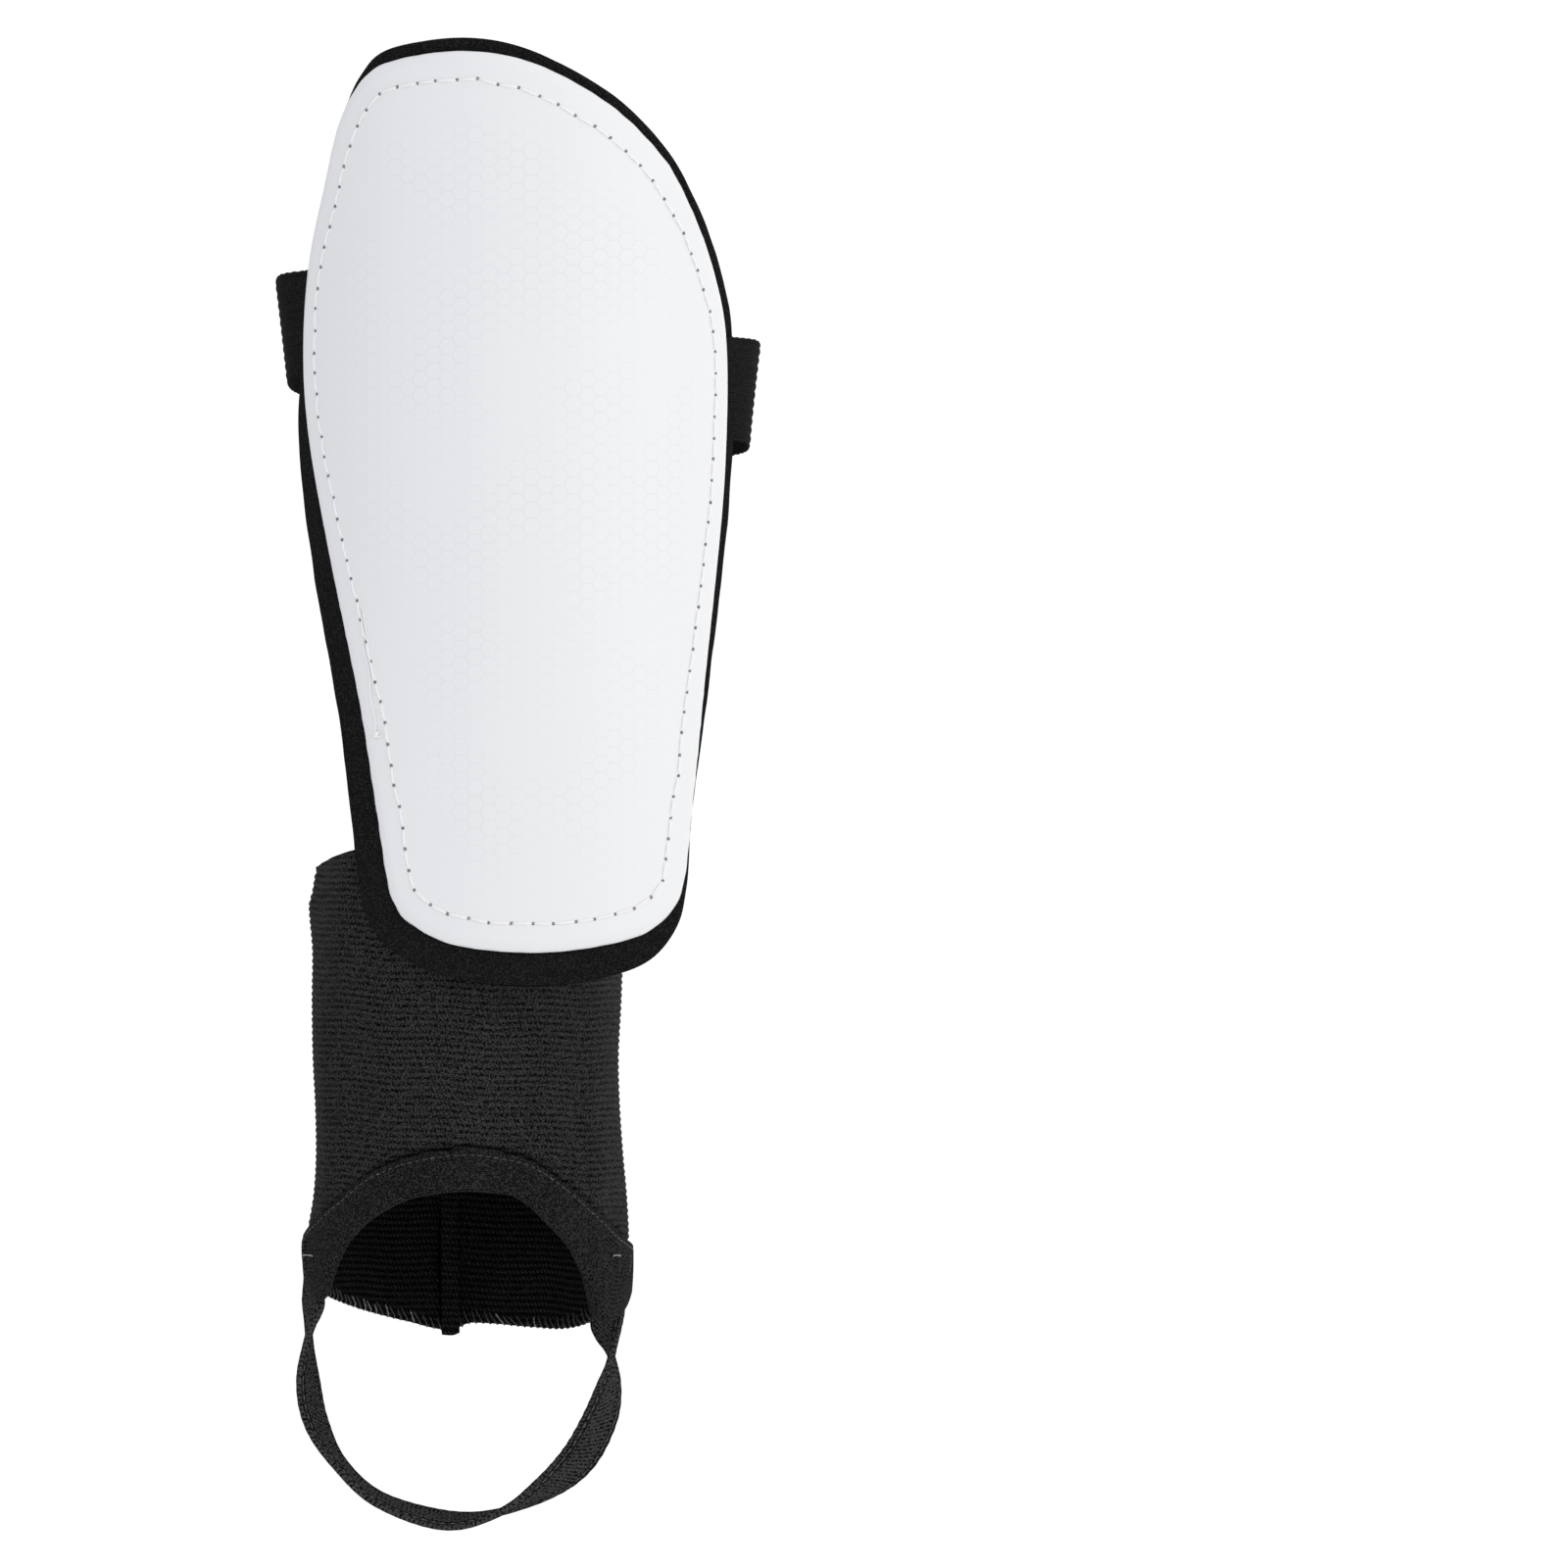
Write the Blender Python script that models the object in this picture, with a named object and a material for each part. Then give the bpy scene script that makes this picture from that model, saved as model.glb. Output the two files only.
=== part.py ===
"""Soccer shin guard: hard shell, sewn backing, calf strap, ankle sleeve and stirrup.

World axes: +X to the right as seen from the front, -Y forwards, +Z up the leg.
The origin is the middle of the lining's back face, on the shin. Sizes are millimetres.
"""
import math

import bmesh
import bpy
from mathutils import Vector

MM = 0.001

# Shell and backing. Outline points are fractions of the half width round the shin and the
# half length, bottom-left corner first, then bottom, right, top and left sides.
SHELL_LENGTH = 220.8
SHELL_ARC_WIDTH = 126.4
SHELL_THICKNESS = 2.2
CLOTH_THICKNESS = 0.6
FOAM_THICKNESS = 3.6
LINING_THICKNESS = 0.8
LAYER_GAP = 0.3
SHIN_RADIUS = 62.0
ANKLE_RADIUS = 74.0
TOP_SET_BACK = 4.0
SIDE_BOTTOM = [(-0.50, -0.93, 8.6), (-0.36, -0.975, 8.2), (0.0, -1.0, 8.0), (0.30, -0.985, 8.0),
               (0.58, -0.92, 6.5)]
SIDE_RIGHT = [(0.58, -0.92, 6.5), (0.69, -0.83, 3.0), (0.76, -0.60, 2.4), (0.86, -0.27, 4.6),
              (0.955, 0.05, 7.0), (0.965, 0.35, 7.0), (0.80, 0.61, 4.6), (0.58, 0.785, 4.0)]
SIDE_TOP = [(-0.70, 0.935, 3.4), (-0.50, 0.985, 3.4), (-0.20, 1.0, 3.4), (0.20, 0.955, 3.8),
            (0.58, 0.785, 4.0)]
SIDE_LEFT = [(-0.50, -0.93, 8.6), (-0.55, -0.80, 9.0), (-0.64, -0.52, 8.2), (-0.80, -0.18, 9.6),
             (-0.94, 0.09, 9.4), (-1.0, 0.36, 5.0), (-0.92, 0.61, 3.4), (-0.82, 0.79, 3.4),
             (-0.70, 0.935, 3.4)]
TANGENT_STEP = 0.01
RIM_CORNER_SHARE = 0.04
CELLS_ACROSS = 14
CELLS_ALONG = 22

# Stitching round the rim
STITCH_INSET = 7.0
THREAD_WIDTH = 0.6
THREAD_HEIGHT = 0.4
THREAD_GAP = 0.15
BOBBIN_GAP = 0.5
STITCH_STEPS = 96
TAIL_START = 0.79
TAIL_STEP = 0.006
TAIL_POINTS = 9
TAIL_SET_IN = 1.6

# Calf strap, an elastic closed at the back by hook and loop
STRAP_WIDTH = 25.0
STRAP_THICKNESS = 1.3
PATCH_THICKNESS = 0.9
PATCH_LENGTH = 42.0
PATCH_MARGIN = 1.5
LOOP_HALF_WIDTH = 57.9
LOOP_CENTRE_Y = 45.0
LOOP_DEPTH = 52.0
STRAP_HEIGHTS = [45.0, 38.9, 32.7, 27.0, 23.2, 22.8, 25.0, 28.3]
STRAP_SLOPE = {-1: 0.109, 1: 0.058}
ANCHOR_LENGTH = 15.0
ANCHOR_MIDDLE = 7.5
ANCHOR_REACH = 5.0
ANCHOR_GAP = 0.6
SHELL_EDGE_SHARE = {-1: 0.98, 1: 0.965}
LONG_END_ANGLE = 138.0
SHORT_END_ANGLE = 84.0
STRAP_HINGE_ANGLE = -14.0
STRAP_GAP = 0.3
HINGE_SLOT = 0.9
INSET_ANGLE = 36.0
PATCH_END_ANGLE = 2.0
LONG_STEPS = 26
SHORT_STEPS = 20
PATCH_STEPS = 10

# Ankle sleeve, an oval elastic tube
SLEEVE_CENTRE_X = -12.4
SLEEVE_HALF_WIDTH = 37.4
SLEEVE_HALF_DEPTH = 42.0
SLEEVE_THICKNESS = 1.4
SLEEVE_WAIST = 1.1
SLEEVE_TOP_Z = -86.5
SLEEVE_FLARE_Z = -196.0
HEM_DEPTH = 8.5
HEM_THICKNESS = 0.9
SLEEVE_GAP = 0.3
SLEEVE_SET_BACK = 4.5
JOIN_DROP = 5.0
JOIN_ANGLES = (-42.0, 30.0)
OPENING_EDGE = [(-180.0, -203.0), (-140.0, -201.0), (-105.0, -196.0), (-78.0, -192.0),
                (-57.0, -186.5), (-38.0, -175.5), (-20.0, -169.5), (0.0, -168.0),
                (20.0, -170.5), (36.0, -177.0), (52.0, -187.0), (78.0, -195.0),
                (105.0, -199.5), (140.0, -202.0)]
BINDING_WIDTH = 9.5
BINDING_THICKNESS = 1.0
BINDING_RISE = 0.4
BINDING_SLOPE_STEP = 3.0
BINDING_STITCH_SET_IN = 1.5
BINDING_ANGLES = (-66.0, 62.0)
OVERLOCK_RISE = 0.3
OVERLOCK_WIDTH = 3.0
OVERLOCK_ANGLES = (80.0, 280.0)
SEAM_WIDTH = 4.0
SEAM_THICKNESS = 1.6
SEAM_END_GAP = 1.0
SLEEVE_STEPS = 48

# Stirrup strap under the foot
STIRRUP_WIDTH = 10.0
STIRRUP_THICKNESS = 1.5
STIRRUP_ROUTE = [(-1.0, -189.5), (-1.1, -197.5), (0.0, -205.5), (0.2, -215.5), (2.9, -225.6),
                 (8.6, -235.7), (17.2, -243.6), (33.5, -248.6), (46.8, -246.8), (57.9, -241.4),
                 (66.0, -234.6), (72.6, -224.9), (75.2, -217.0), (76.9, -210.5), (79.4, -204.0),
                 (80.6, -190.5)]
STIRRUP_TWIST = [90.0, 84.0, 88.0, 116.0, 124.0, 122.0, 116.0, 118.0, 122.0, 132.0,
                 140.0, 146.0, 122.0, 90.0, 74.0, 90.0]
STIRRUP_LEFT_X = -52.2
TACK_Z = -184.0
FOLD_HEIGHT = 8.0
FOLD_DEPTH = 9.0
FOLD_THICKNESS = 2.8
FOLD_SIDES = 12
TACK_LENGTH = 6.0
TACK_WIDTH = 2.0
TACK_DROP = 1.0
TACK_THREAD = 0.7
STIRRUP_STEPS = 56
EDGE_STITCH_SPAN = (20, 38)

LAYER_FRONT = {
    "hard_shell": 0.0,
    "front_cloth": SHELL_THICKNESS + LAYER_GAP,
    "foam_pad": SHELL_THICKNESS + CLOTH_THICKNESS + 2 * LAYER_GAP,
    "lining_cloth": SHELL_THICKNESS + CLOTH_THICKNESS + FOAM_THICKNESS + 3 * LAYER_GAP,
}
BUILD_DEPTH = LAYER_FRONT["lining_cloth"] + LINING_THICKNESS
HALF_LENGTH = SHELL_LENGTH / 2
HALF_ARC = SHELL_ARC_WIDTH / 2
OPPOSITE_SIDE = 180.0


def smooth_step(value):
    """Ease from 0 to 1 as value goes from 0 to 1."""
    value = min(max(value, 0.0), 1.0)
    return value * value * (3 - 2 * value)


def curve_point(points, place, closed=False):
    """Point on a smooth curve through points, place running from 0 to 1 along them."""
    count = len(points)
    spans = count if closed else count - 1
    position = min(max(place, 0.0), 1.0) * spans
    first = min(int(position), spans - 1)
    part = position - first
    if closed:
        four = [points[(first + step) % count] for step in (-1, 0, 1, 2)]
    else:
        four = [points[min(max(first + step, 0), count - 1)] for step in (-1, 0, 1, 2)]
    result = []
    for before, start, end, after in zip(*four):
        result.append(start + 0.5 * part * (end - before + part * (
            2 * before - 5 * start + 4 * end - after + part * (3 * (start - end) + after - before))))
    return result


def leg_radius(height):
    """Radius of the shell's front face at a height."""
    share = smooth_step((-height - 20.0) / (HALF_LENGTH - 20.0))
    return SHIN_RADIUS + (ANKLE_RADIUS - SHIN_RADIUS) * share


def on_shin(arc, height, depth):
    """Point at an arc length round the shin, a height, and a depth behind the shell's face."""
    radius = leg_radius(height)
    angle = arc / radius
    set_back = TOP_SET_BACK * max(height / HALF_LENGTH, 0.0) ** 2
    front = -BUILD_DEPTH + set_back
    reach = radius - depth
    return Vector((reach * math.sin(angle), front + radius - reach * math.cos(angle), height))


def outline_side(points, place, grow):
    """Point of one side of the outline, moved outwards by a share of the overhang and more."""
    overhang_share, extra = grow
    across, along, overhang = curve_point(points, place)
    before = curve_point(points, place - TANGENT_STEP)
    after = curve_point(points, place + TANGENT_STEP)
    tangent = Vector(((after[0] - before[0]) * HALF_ARC, (after[1] - before[1]) * HALF_LENGTH))
    outwards = Vector((tangent.y, -tangent.x)).normalized()
    if points in (SIDE_TOP, SIDE_LEFT):
        outwards = -outwards
    distance = overhang * overhang_share + extra
    return Vector((across * HALF_ARC, along * HALF_LENGTH)) + outwards * distance


def patch_corner(side_a, place_a, side_b, place_b, grow):
    """Shared corner of two sides."""
    return (outline_side(side_a, place_a, grow) + outline_side(side_b, place_b, grow)) / 2


def outline_patch(across, along, grow):
    """Point inside the outline, from the bottom-left corner (0, 0) to the top-right (1, 1)."""
    low_left = patch_corner(SIDE_BOTTOM, 0, SIDE_LEFT, 0, grow)
    low_right = patch_corner(SIDE_BOTTOM, 1, SIDE_RIGHT, 0, grow)
    top_left = patch_corner(SIDE_TOP, 0, SIDE_LEFT, 1, grow)
    top_right = patch_corner(SIDE_TOP, 1, SIDE_RIGHT, 1, grow)

    def side(points, place, start, end):
        if place <= 0:
            return start
        if place >= 1:
            return end
        return outline_side(points, place, grow)

    bottom = side(SIDE_BOTTOM, across, low_left, low_right)
    top = side(SIDE_TOP, across, top_left, top_right)
    left = side(SIDE_LEFT, along, low_left, top_left)
    right = side(SIDE_RIGHT, along, low_right, top_right)
    corners = (low_left * (1 - across) + low_right * across) * (1 - along)
    corners += (top_left * (1 - across) + top_right * across) * along
    return bottom * (1 - along) + top * along + left * (1 - across) + right * across - corners


def make_material(name, colour, roughness):
    """Plain material for one finish."""
    material = bpy.data.materials.new(name)
    material.use_nodes = True
    shader = material.node_tree.nodes["Principled BSDF"]
    shader.inputs["Base Color"].default_value = (*colour, 1.0)
    shader.inputs["Roughness"].default_value = roughness
    shader.inputs["Metallic"].default_value = 0.0
    return material


def add_object(name, points, faces, material, pivot=(0.0, 0.0, 0.0)):
    """Closed body from points in millimetres, with its origin at the pivot."""
    pivot = Vector(pivot) * MM
    mesh = bpy.data.meshes.new(name)
    mesh.from_pydata([Vector(point) * MM - pivot for point in points], [], faces)
    shape = bmesh.new()
    shape.from_mesh(mesh)
    bmesh.ops.recalc_face_normals(shape, faces=shape.faces)
    shape.to_mesh(mesh)
    shape.free()
    mesh.materials.append(material)
    mesh.shade_smooth()
    mesh.set_sharp_from_angle(angle=math.radians(35))
    body = bpy.data.objects.new(name, mesh)
    body.location = pivot
    bpy.context.scene.collection.objects.link(body)
    return body


def loft_faces(rings, size, closed_ring, closed_loft):
    """Quads between rings of points, each ring having size points."""
    faces = []
    for ring in range(rings if closed_loft else rings - 1):
        following = (ring + 1) % rings
        for step in range(size if closed_ring else size - 1):
            ahead = (step + 1) % size
            faces.append((ring * size + step, ring * size + ahead,
                          following * size + ahead, following * size + step))
    return faces


def rectangle_loft(name, sections, material, pivot, closed):
    """Bar through sections of four corners each."""
    points = [corner for section in sections for corner in section]
    faces = loft_faces(len(sections), 4, True, closed)
    if not closed:
        last = 4 * (len(sections) - 1)
        faces += [(0, 1, 2, 3), (last + 3, last + 2, last + 1, last)]
    return add_object(name, points, faces, material, pivot)


def ribbon(name, centres, normals, width, thickness, material, pivot=(0, 0, 0), offset=0.0):
    """Flat strap along centres, its faces along the normals, moved by offset along them."""
    sections = []
    for index, (centre, normal) in enumerate(zip(centres, normals)):
        ahead = centres[min(index + 1, len(centres) - 1)]
        behind = centres[max(index - 1, 0)]
        tangent = (ahead - behind).normalized()
        normal = (normal - tangent * normal.dot(tangent)).normalized()
        side = tangent.cross(normal) * width / 2
        middle = centre + normal * offset
        half = normal * thickness / 2
        sections.append([middle - side - half, middle + side - half,
                         middle + side + half, middle - side + half])
    return rectangle_loft(name, sections, material, pivot, False)


def cut(body, cutter):
    """Cut one body with another and keep the cutter as a guide."""
    cutter.hide_render = True
    cutter.display_type = "WIRE"
    modifier = body.modifiers.new("pocket", "BOOLEAN")
    modifier.operation = "DIFFERENCE"
    modifier.object = cutter


def layer(name, thickness, grow, material):
    """One curved sheet of the guard."""
    front = LAYER_FRONT[name]
    points = []
    for depth in (front, front + thickness):
        for row in range(CELLS_ALONG + 1):
            for column in range(CELLS_ACROSS + 1):
                arc, height = outline_patch(column / CELLS_ACROSS, row / CELLS_ALONG, grow)
                points.append(on_shin(arc, height, depth))
    wide = CELLS_ACROSS + 1
    size = wide * (CELLS_ALONG + 1)
    faces = loft_faces(CELLS_ALONG + 1, wide, False, False)
    faces += [tuple(index + size for index in reversed(face)) for face in list(faces)]
    border = [column for column in range(wide)]
    border += [row * wide + CELLS_ACROSS for row in range(1, CELLS_ALONG + 1)]
    border += [CELLS_ALONG * wide + column for column in range(CELLS_ACROSS - 1, -1, -1)]
    border += [row * wide for row in range(CELLS_ALONG - 1, 0, -1)]
    for here, there in zip(border, border[1:] + border[:1]):
        faces.append((here, there, there + size, here + size))
    return add_object(name, points, faces, material)


def rim_place(place, inset):
    """Arc and height on the outline set in by inset, place running once round it."""
    sides = [(SIDE_BOTTOM, False, 0.16), (SIDE_RIGHT, False, 0.34),
             (SIDE_TOP, True, 0.16), (SIDE_LEFT, True, 0.34)]
    for points, backwards, share in sides:
        if place <= share:
            part = RIM_CORNER_SHARE + (1 - 2 * RIM_CORNER_SHARE) * place / share
            return outline_side(points, 1 - part if backwards else part, (0.0, -inset))
        place -= share
    return outline_side(SIDE_LEFT, RIM_CORNER_SHARE, (0.0, -inset))


def rim_thread(name, places, inset, depth, material, closed):
    """Thread lying along the outline on the face at a depth."""
    sections = []
    for place in places:
        section = []
        for across, lift in ((-1, 0), (1, 0), (1, 1), (-1, 1)):
            arc, height = rim_place(place % 1.0, inset + across * THREAD_WIDTH / 2)
            section.append(on_shin(arc, height, depth + lift * THREAD_HEIGHT))
        sections.append(section)
    return rectangle_loft(name, sections, material, (0, 0, 0), closed)


def build_guard(materials):
    """Shell, backing layers and the lockstitch through them."""
    overhang = (1.0, 0.0)
    layer("hard_shell", SHELL_THICKNESS, (0.0, 0.0), materials["shell"])
    cloth = layer("front_cloth", CLOTH_THICKNESS, overhang, materials["backing"])
    foam = layer("foam_pad", FOAM_THICKNESS, overhang, materials["foam"])
    layer("lining_cloth", LINING_THICKNESS, overhang, materials["lining"])
    round_rim = [step / STITCH_STEPS for step in range(STITCH_STEPS)]
    rim_thread("rim_needle_thread", round_rim, STITCH_INSET, -THREAD_GAP - THREAD_HEIGHT,
               materials["thread"], True)
    rim_thread("rim_bobbin_thread", round_rim, STITCH_INSET, BUILD_DEPTH + BOBBIN_GAP,
               materials["thread_black"], True)
    tail = [TAIL_START + step * TAIL_STEP for step in range(TAIL_POINTS)]
    rim_thread("rim_back_tack", tail, STITCH_INSET + TAIL_SET_IN, -THREAD_GAP - THREAD_HEIGHT,
               materials["thread"], False)
    return cloth, foam


def calf_loop(angle, inwards=0.0):
    """Point and outward normal of the calf strap's loop, 0 at the left, 90 at the back."""
    turn = math.radians(angle)
    share = (angle - STRAP_HINGE_ANGLE) / (OPPOSITE_SIDE - 2 * STRAP_HINGE_ANGLE)
    height = curve_point([(level,) for level in STRAP_HEIGHTS], share)[0]
    normal = Vector((-math.cos(turn) * LOOP_DEPTH, math.sin(turn) * LOOP_HALF_WIDTH, 0.0))
    normal.normalize()
    point = Vector((-LOOP_HALF_WIDTH * math.cos(turn), LOOP_CENTRE_Y + LOOP_DEPTH * math.sin(turn),
                    height))
    return point - normal * inwards, normal


def short_inset(angle):
    """How far inside the long strap the short strap runs at an angle of the loop."""
    stack = STRAP_THICKNESS + 2 * PATCH_THICKNESS + 3 * STRAP_GAP
    return stack * smooth_step((OPPOSITE_SIDE - angle) / INSET_ANGLE)


def no_inset(_):
    """The long strap runs on the loop itself."""
    return 0.0


def loop_run(first, last, steps, inset):
    """Centres and normals of the loop between two angles."""
    centres = []
    normals = []
    for step in range(steps + 1):
        angle = first + (last - first) * step / steps
        centre, normal = calf_loop(angle, inset(angle))
        centres.append(centre)
        normals.append(normal)
    return centres, normals


def edge_anchor(side, hinge, clearance):
    """Sections of a strap end lying between shell and cloth, from inside out to the hinge."""
    shell_edge = HALF_ARC * SHELL_EDGE_SHARE[side]
    middle_depth = SHELL_THICKNESS + ANCHOR_GAP + STRAP_THICKNESS / 2
    centres = []
    normals = []
    for reach in (-ANCHOR_LENGTH - clearance, -ANCHOR_MIDDLE, 0.0, ANCHOR_REACH):
        arc = side * (shell_edge + reach)
        level = on_shin(arc, hinge.z, middle_depth)
        height = hinge.z + STRAP_SLOPE[side] * (level - hinge).length
        centre = on_shin(arc, height, middle_depth)
        outer = on_shin(arc, height, 0.0)
        centres.append(centre)
        normals.append((outer - centre).normalized())
    return centres, normals


def build_strap(materials, cloth, foam):
    """Calf strap: sewn ends, long and short elastic, hook and loop patches."""
    ends = ((-1, STRAP_HINGE_ANGLE, "left"), (1, OPPOSITE_SIDE - STRAP_HINGE_ANGLE, "right"))
    pivots = {}
    for side, angle, word in ends:
        hinge, normal = calf_loop(angle)
        centres, normals = edge_anchor(side, hinge, 0.0)
        tangent = (calf_loop(angle - side)[0] - hinge).normalized()
        centres.append(hinge - tangent * HINGE_SLOT / 2)
        normals.append(normal)
        ribbon("calf_strap_anchor_" + word, centres, normals, STRAP_WIDTH, STRAP_THICKNESS,
               materials["elastic"])
        centres, normals = edge_anchor(side, hinge, LAYER_GAP)
        centres.append(centres[-1] + (centres[-1] - centres[-2]) * 2)
        normals.append(normals[-1])
        cutter = ribbon("pocket_" + word, centres, normals, STRAP_WIDTH + 2 * LAYER_GAP,
                        STRAP_THICKNESS + 2 * ANCHOR_GAP, materials["elastic"])
        cut(cloth, cutter)
        cut(foam, cutter)
        pivots[word] = hinge + normal * (STRAP_THICKNESS / 2)
    slot = math.degrees(HINGE_SLOT / 2 / LOOP_DEPTH)
    centres, normals = loop_run(STRAP_HINGE_ANGLE + slot, LONG_END_ANGLE, LONG_STEPS, no_inset)
    ribbon("calf_strap_long", centres, normals, STRAP_WIDTH, STRAP_THICKNESS,
           materials["elastic"], pivots["left"])
    right_hinge = OPPOSITE_SIDE - STRAP_HINGE_ANGLE
    centres, normals = loop_run(right_hinge - slot, SHORT_END_ANGLE, SHORT_STEPS, short_inset)
    ribbon("calf_strap_short", centres, normals, STRAP_WIDTH, STRAP_THICKNESS,
           materials["elastic"], pivots["right"])
    patch_arc = math.degrees(PATCH_LENGTH / (LOOP_HALF_WIDTH + LOOP_DEPTH) * 2)
    hook_end = LONG_END_ANGLE - PATCH_END_ANGLE
    middle = STRAP_THICKNESS / 2 + STRAP_GAP + PATCH_THICKNESS / 2
    centres, normals = loop_run(hook_end - patch_arc, hook_end, PATCH_STEPS, no_inset)
    ribbon("hook_patch", centres, normals, STRAP_WIDTH - 2 * PATCH_MARGIN, PATCH_THICKNESS,
           materials["hook"], pivots["left"], -middle)
    stack = short_inset(SHORT_END_ANGLE)
    loop_start = SHORT_END_ANGLE + PATCH_END_ANGLE
    centres, normals = loop_run(loop_start, hook_end, PATCH_STEPS, lambda _: stack)
    ribbon("loop_patch", centres, normals, STRAP_WIDTH - 2 * PATCH_MARGIN, PATCH_THICKNESS,
           materials["loop"], pivots["right"], middle)
    above = STRAP_THICKNESS / 2 + THREAD_GAP + THREAD_HEIGHT / 2
    centres, normals = loop_run(hook_end - patch_arc, hook_end, PATCH_STEPS, no_inset)
    ribbon("hook_patch_stitching", centres, normals, THREAD_WIDTH * 2, THREAD_HEIGHT,
           materials["thread_black"], pivots["left"], above)
    centres, normals = loop_run(loop_start, hook_end, PATCH_STEPS, lambda _: stack)
    ribbon("loop_patch_stitching", centres, normals, THREAD_WIDTH * 2, THREAD_HEIGHT,
           materials["thread_black"], pivots["right"], -above)


def sleeve_centre_y():
    """Centre of the sleeve, its hem just behind the lining."""
    clear = HEM_THICKNESS + 2 * SLEEVE_GAP + SLEEVE_SET_BACK
    lining = on_shin(SLEEVE_CENTRE_X, SLEEVE_TOP_Z, BUILD_DEPTH).y
    return lining + clear + SLEEVE_HALF_DEPTH


def on_sleeve(angle, height, offset):
    """Point on the sleeve at an angle from the front, offset outwards from its outer face."""
    turn = math.radians(angle)
    share = (SLEEVE_TOP_Z - height) / (SLEEVE_TOP_Z - SLEEVE_FLARE_Z)
    waist = -SLEEVE_WAIST * math.sin(math.pi * min(max(share, 0.0), 1.0))
    wide = SLEEVE_HALF_WIDTH + waist + offset + SLEEVE_THICKNESS / 2
    deep = SLEEVE_HALF_DEPTH + waist + offset + SLEEVE_THICKNESS / 2
    return Vector((SLEEVE_CENTRE_X + wide * math.sin(turn),
                   sleeve_centre_y() - deep * math.cos(turn), height))


def opening_height(angle):
    """Height of the sleeve's lower edge at an angle from the front."""
    angle = (angle + 180.0) % 360.0 - 180.0
    ring = OPENING_EDGE
    for index, (start, low) in enumerate(ring):
        end, high = ring[(index + 1) % len(ring)]
        if end <= start:
            end += 360.0
        if start <= angle < end:
            place = (index + (angle - start) / (end - start)) / len(ring)
            return curve_point([(height,) for _, height in ring], place, True)[0]
    return ring[0][1]


def sleeve_band(name, angles, rows, low, high, inner, outer, material, pivot):
    """Band of the sleeve between two height functions and two offsets."""
    whole = angles[1] - angles[0] >= 360.0
    share = (angles[1] - angles[0]) / 360.0
    steps = max(int(SLEEVE_STEPS * share), 4)
    columns = steps if whole else steps + 1
    points = []
    for column in range(columns):
        angle = angles[0] + (angles[1] - angles[0]) * column / steps
        bottom = low(angle)
        top = high(angle)
        ring = [on_sleeve(angle, bottom + (top - bottom) * row / rows, outer)
                for row in range(rows + 1)]
        ring += [on_sleeve(angle, top + (bottom - top) * row / rows, inner)
                 for row in range(rows + 1)]
        points += ring
    size = 2 * (rows + 1)
    faces = loft_faces(columns, size, True, whole)
    if not whole:
        for first, flip in ((0, False), ((columns - 1) * size, True)):
            for row in range(rows):
                quad = (first + row, first + row + 1, first + size - 2 - row, first + size - 1 - row)
                faces.append(tuple(reversed(quad)) if flip else quad)
    return add_object(name, points, faces, material, pivot)


def sleeve_pivot():
    """Middle of the sewn line where the sleeve meets the guard."""
    return on_sleeve(0.0, SLEEVE_TOP_Z, 0.0)


def build_sleeve(materials):
    """Elastic sleeve with hem, back seam, instep binding and edge stitching."""
    pivot = sleeve_pivot()
    knit = materials["knit"]

    def top(_):
        return SLEEVE_TOP_Z

    sleeve_band("ankle_sleeve", (0.0, 360.0), 9, opening_height, top, -SLEEVE_THICKNESS, 0.0,
                knit, pivot)
    sleeve_band("sleeve_top_hem", (0.0, 360.0), 2, lambda _: SLEEVE_TOP_Z - HEM_DEPTH, top,
                SLEEVE_GAP, SLEEVE_GAP + HEM_THICKNESS, knit, pivot)
    inside = -SLEEVE_THICKNESS - SLEEVE_GAP
    seam_half = math.degrees(SEAM_WIDTH / 2 / SLEEVE_HALF_DEPTH)
    sleeve_band("sleeve_back_seam", (180.0 - seam_half, 180.0 + seam_half), 8,
                lambda angle: opening_height(angle) + OVERLOCK_WIDTH + SEAM_END_GAP,
                lambda _: SLEEVE_TOP_Z - SEAM_END_GAP, inside - SEAM_THICKNESS, inside, knit, pivot)
    join = SLEEVE_TOP_Z - JOIN_DROP
    sleeve_band("sleeve_join_thread", JOIN_ANGLES, 1, lambda _: join - THREAD_WIDTH,
                lambda _: join, inside - THREAD_HEIGHT, inside, materials["thread_black"], pivot)

    def binding_low(angle):
        return opening_height(angle) + BINDING_RISE

    def binding_high(angle):
        before = opening_height(angle - BINDING_SLOPE_STEP)
        after = opening_height(angle + BINDING_SLOPE_STEP)
        run = math.radians(2 * BINDING_SLOPE_STEP) * SLEEVE_HALF_WIDTH
        return binding_low(angle) + BINDING_WIDTH * math.hypot(1.0, (after - before) / run)

    sleeve_band("instep_binding", BINDING_ANGLES, 2, binding_low, binding_high, SLEEVE_GAP,
                SLEEVE_GAP + BINDING_THICKNESS, materials["tape"], pivot)
    outside = SLEEVE_GAP + BINDING_THICKNESS + THREAD_GAP
    sleeve_band("instep_binding_thread", BINDING_ANGLES, 1,
                lambda angle: binding_high(angle) - BINDING_STITCH_SET_IN - THREAD_WIDTH,
                lambda angle: binding_high(angle) - BINDING_STITCH_SET_IN, outside,
                outside + THREAD_HEIGHT,
                materials["thread_black"], pivot)
    sleeve_band("back_edge_overlock", OVERLOCK_ANGLES, 1,
                lambda angle: opening_height(angle) + OVERLOCK_RISE,
                lambda angle: opening_height(angle) + OVERLOCK_RISE + OVERLOCK_WIDTH,
                inside - THREAD_HEIGHT, inside, materials["thread_grey"], pivot)


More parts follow.
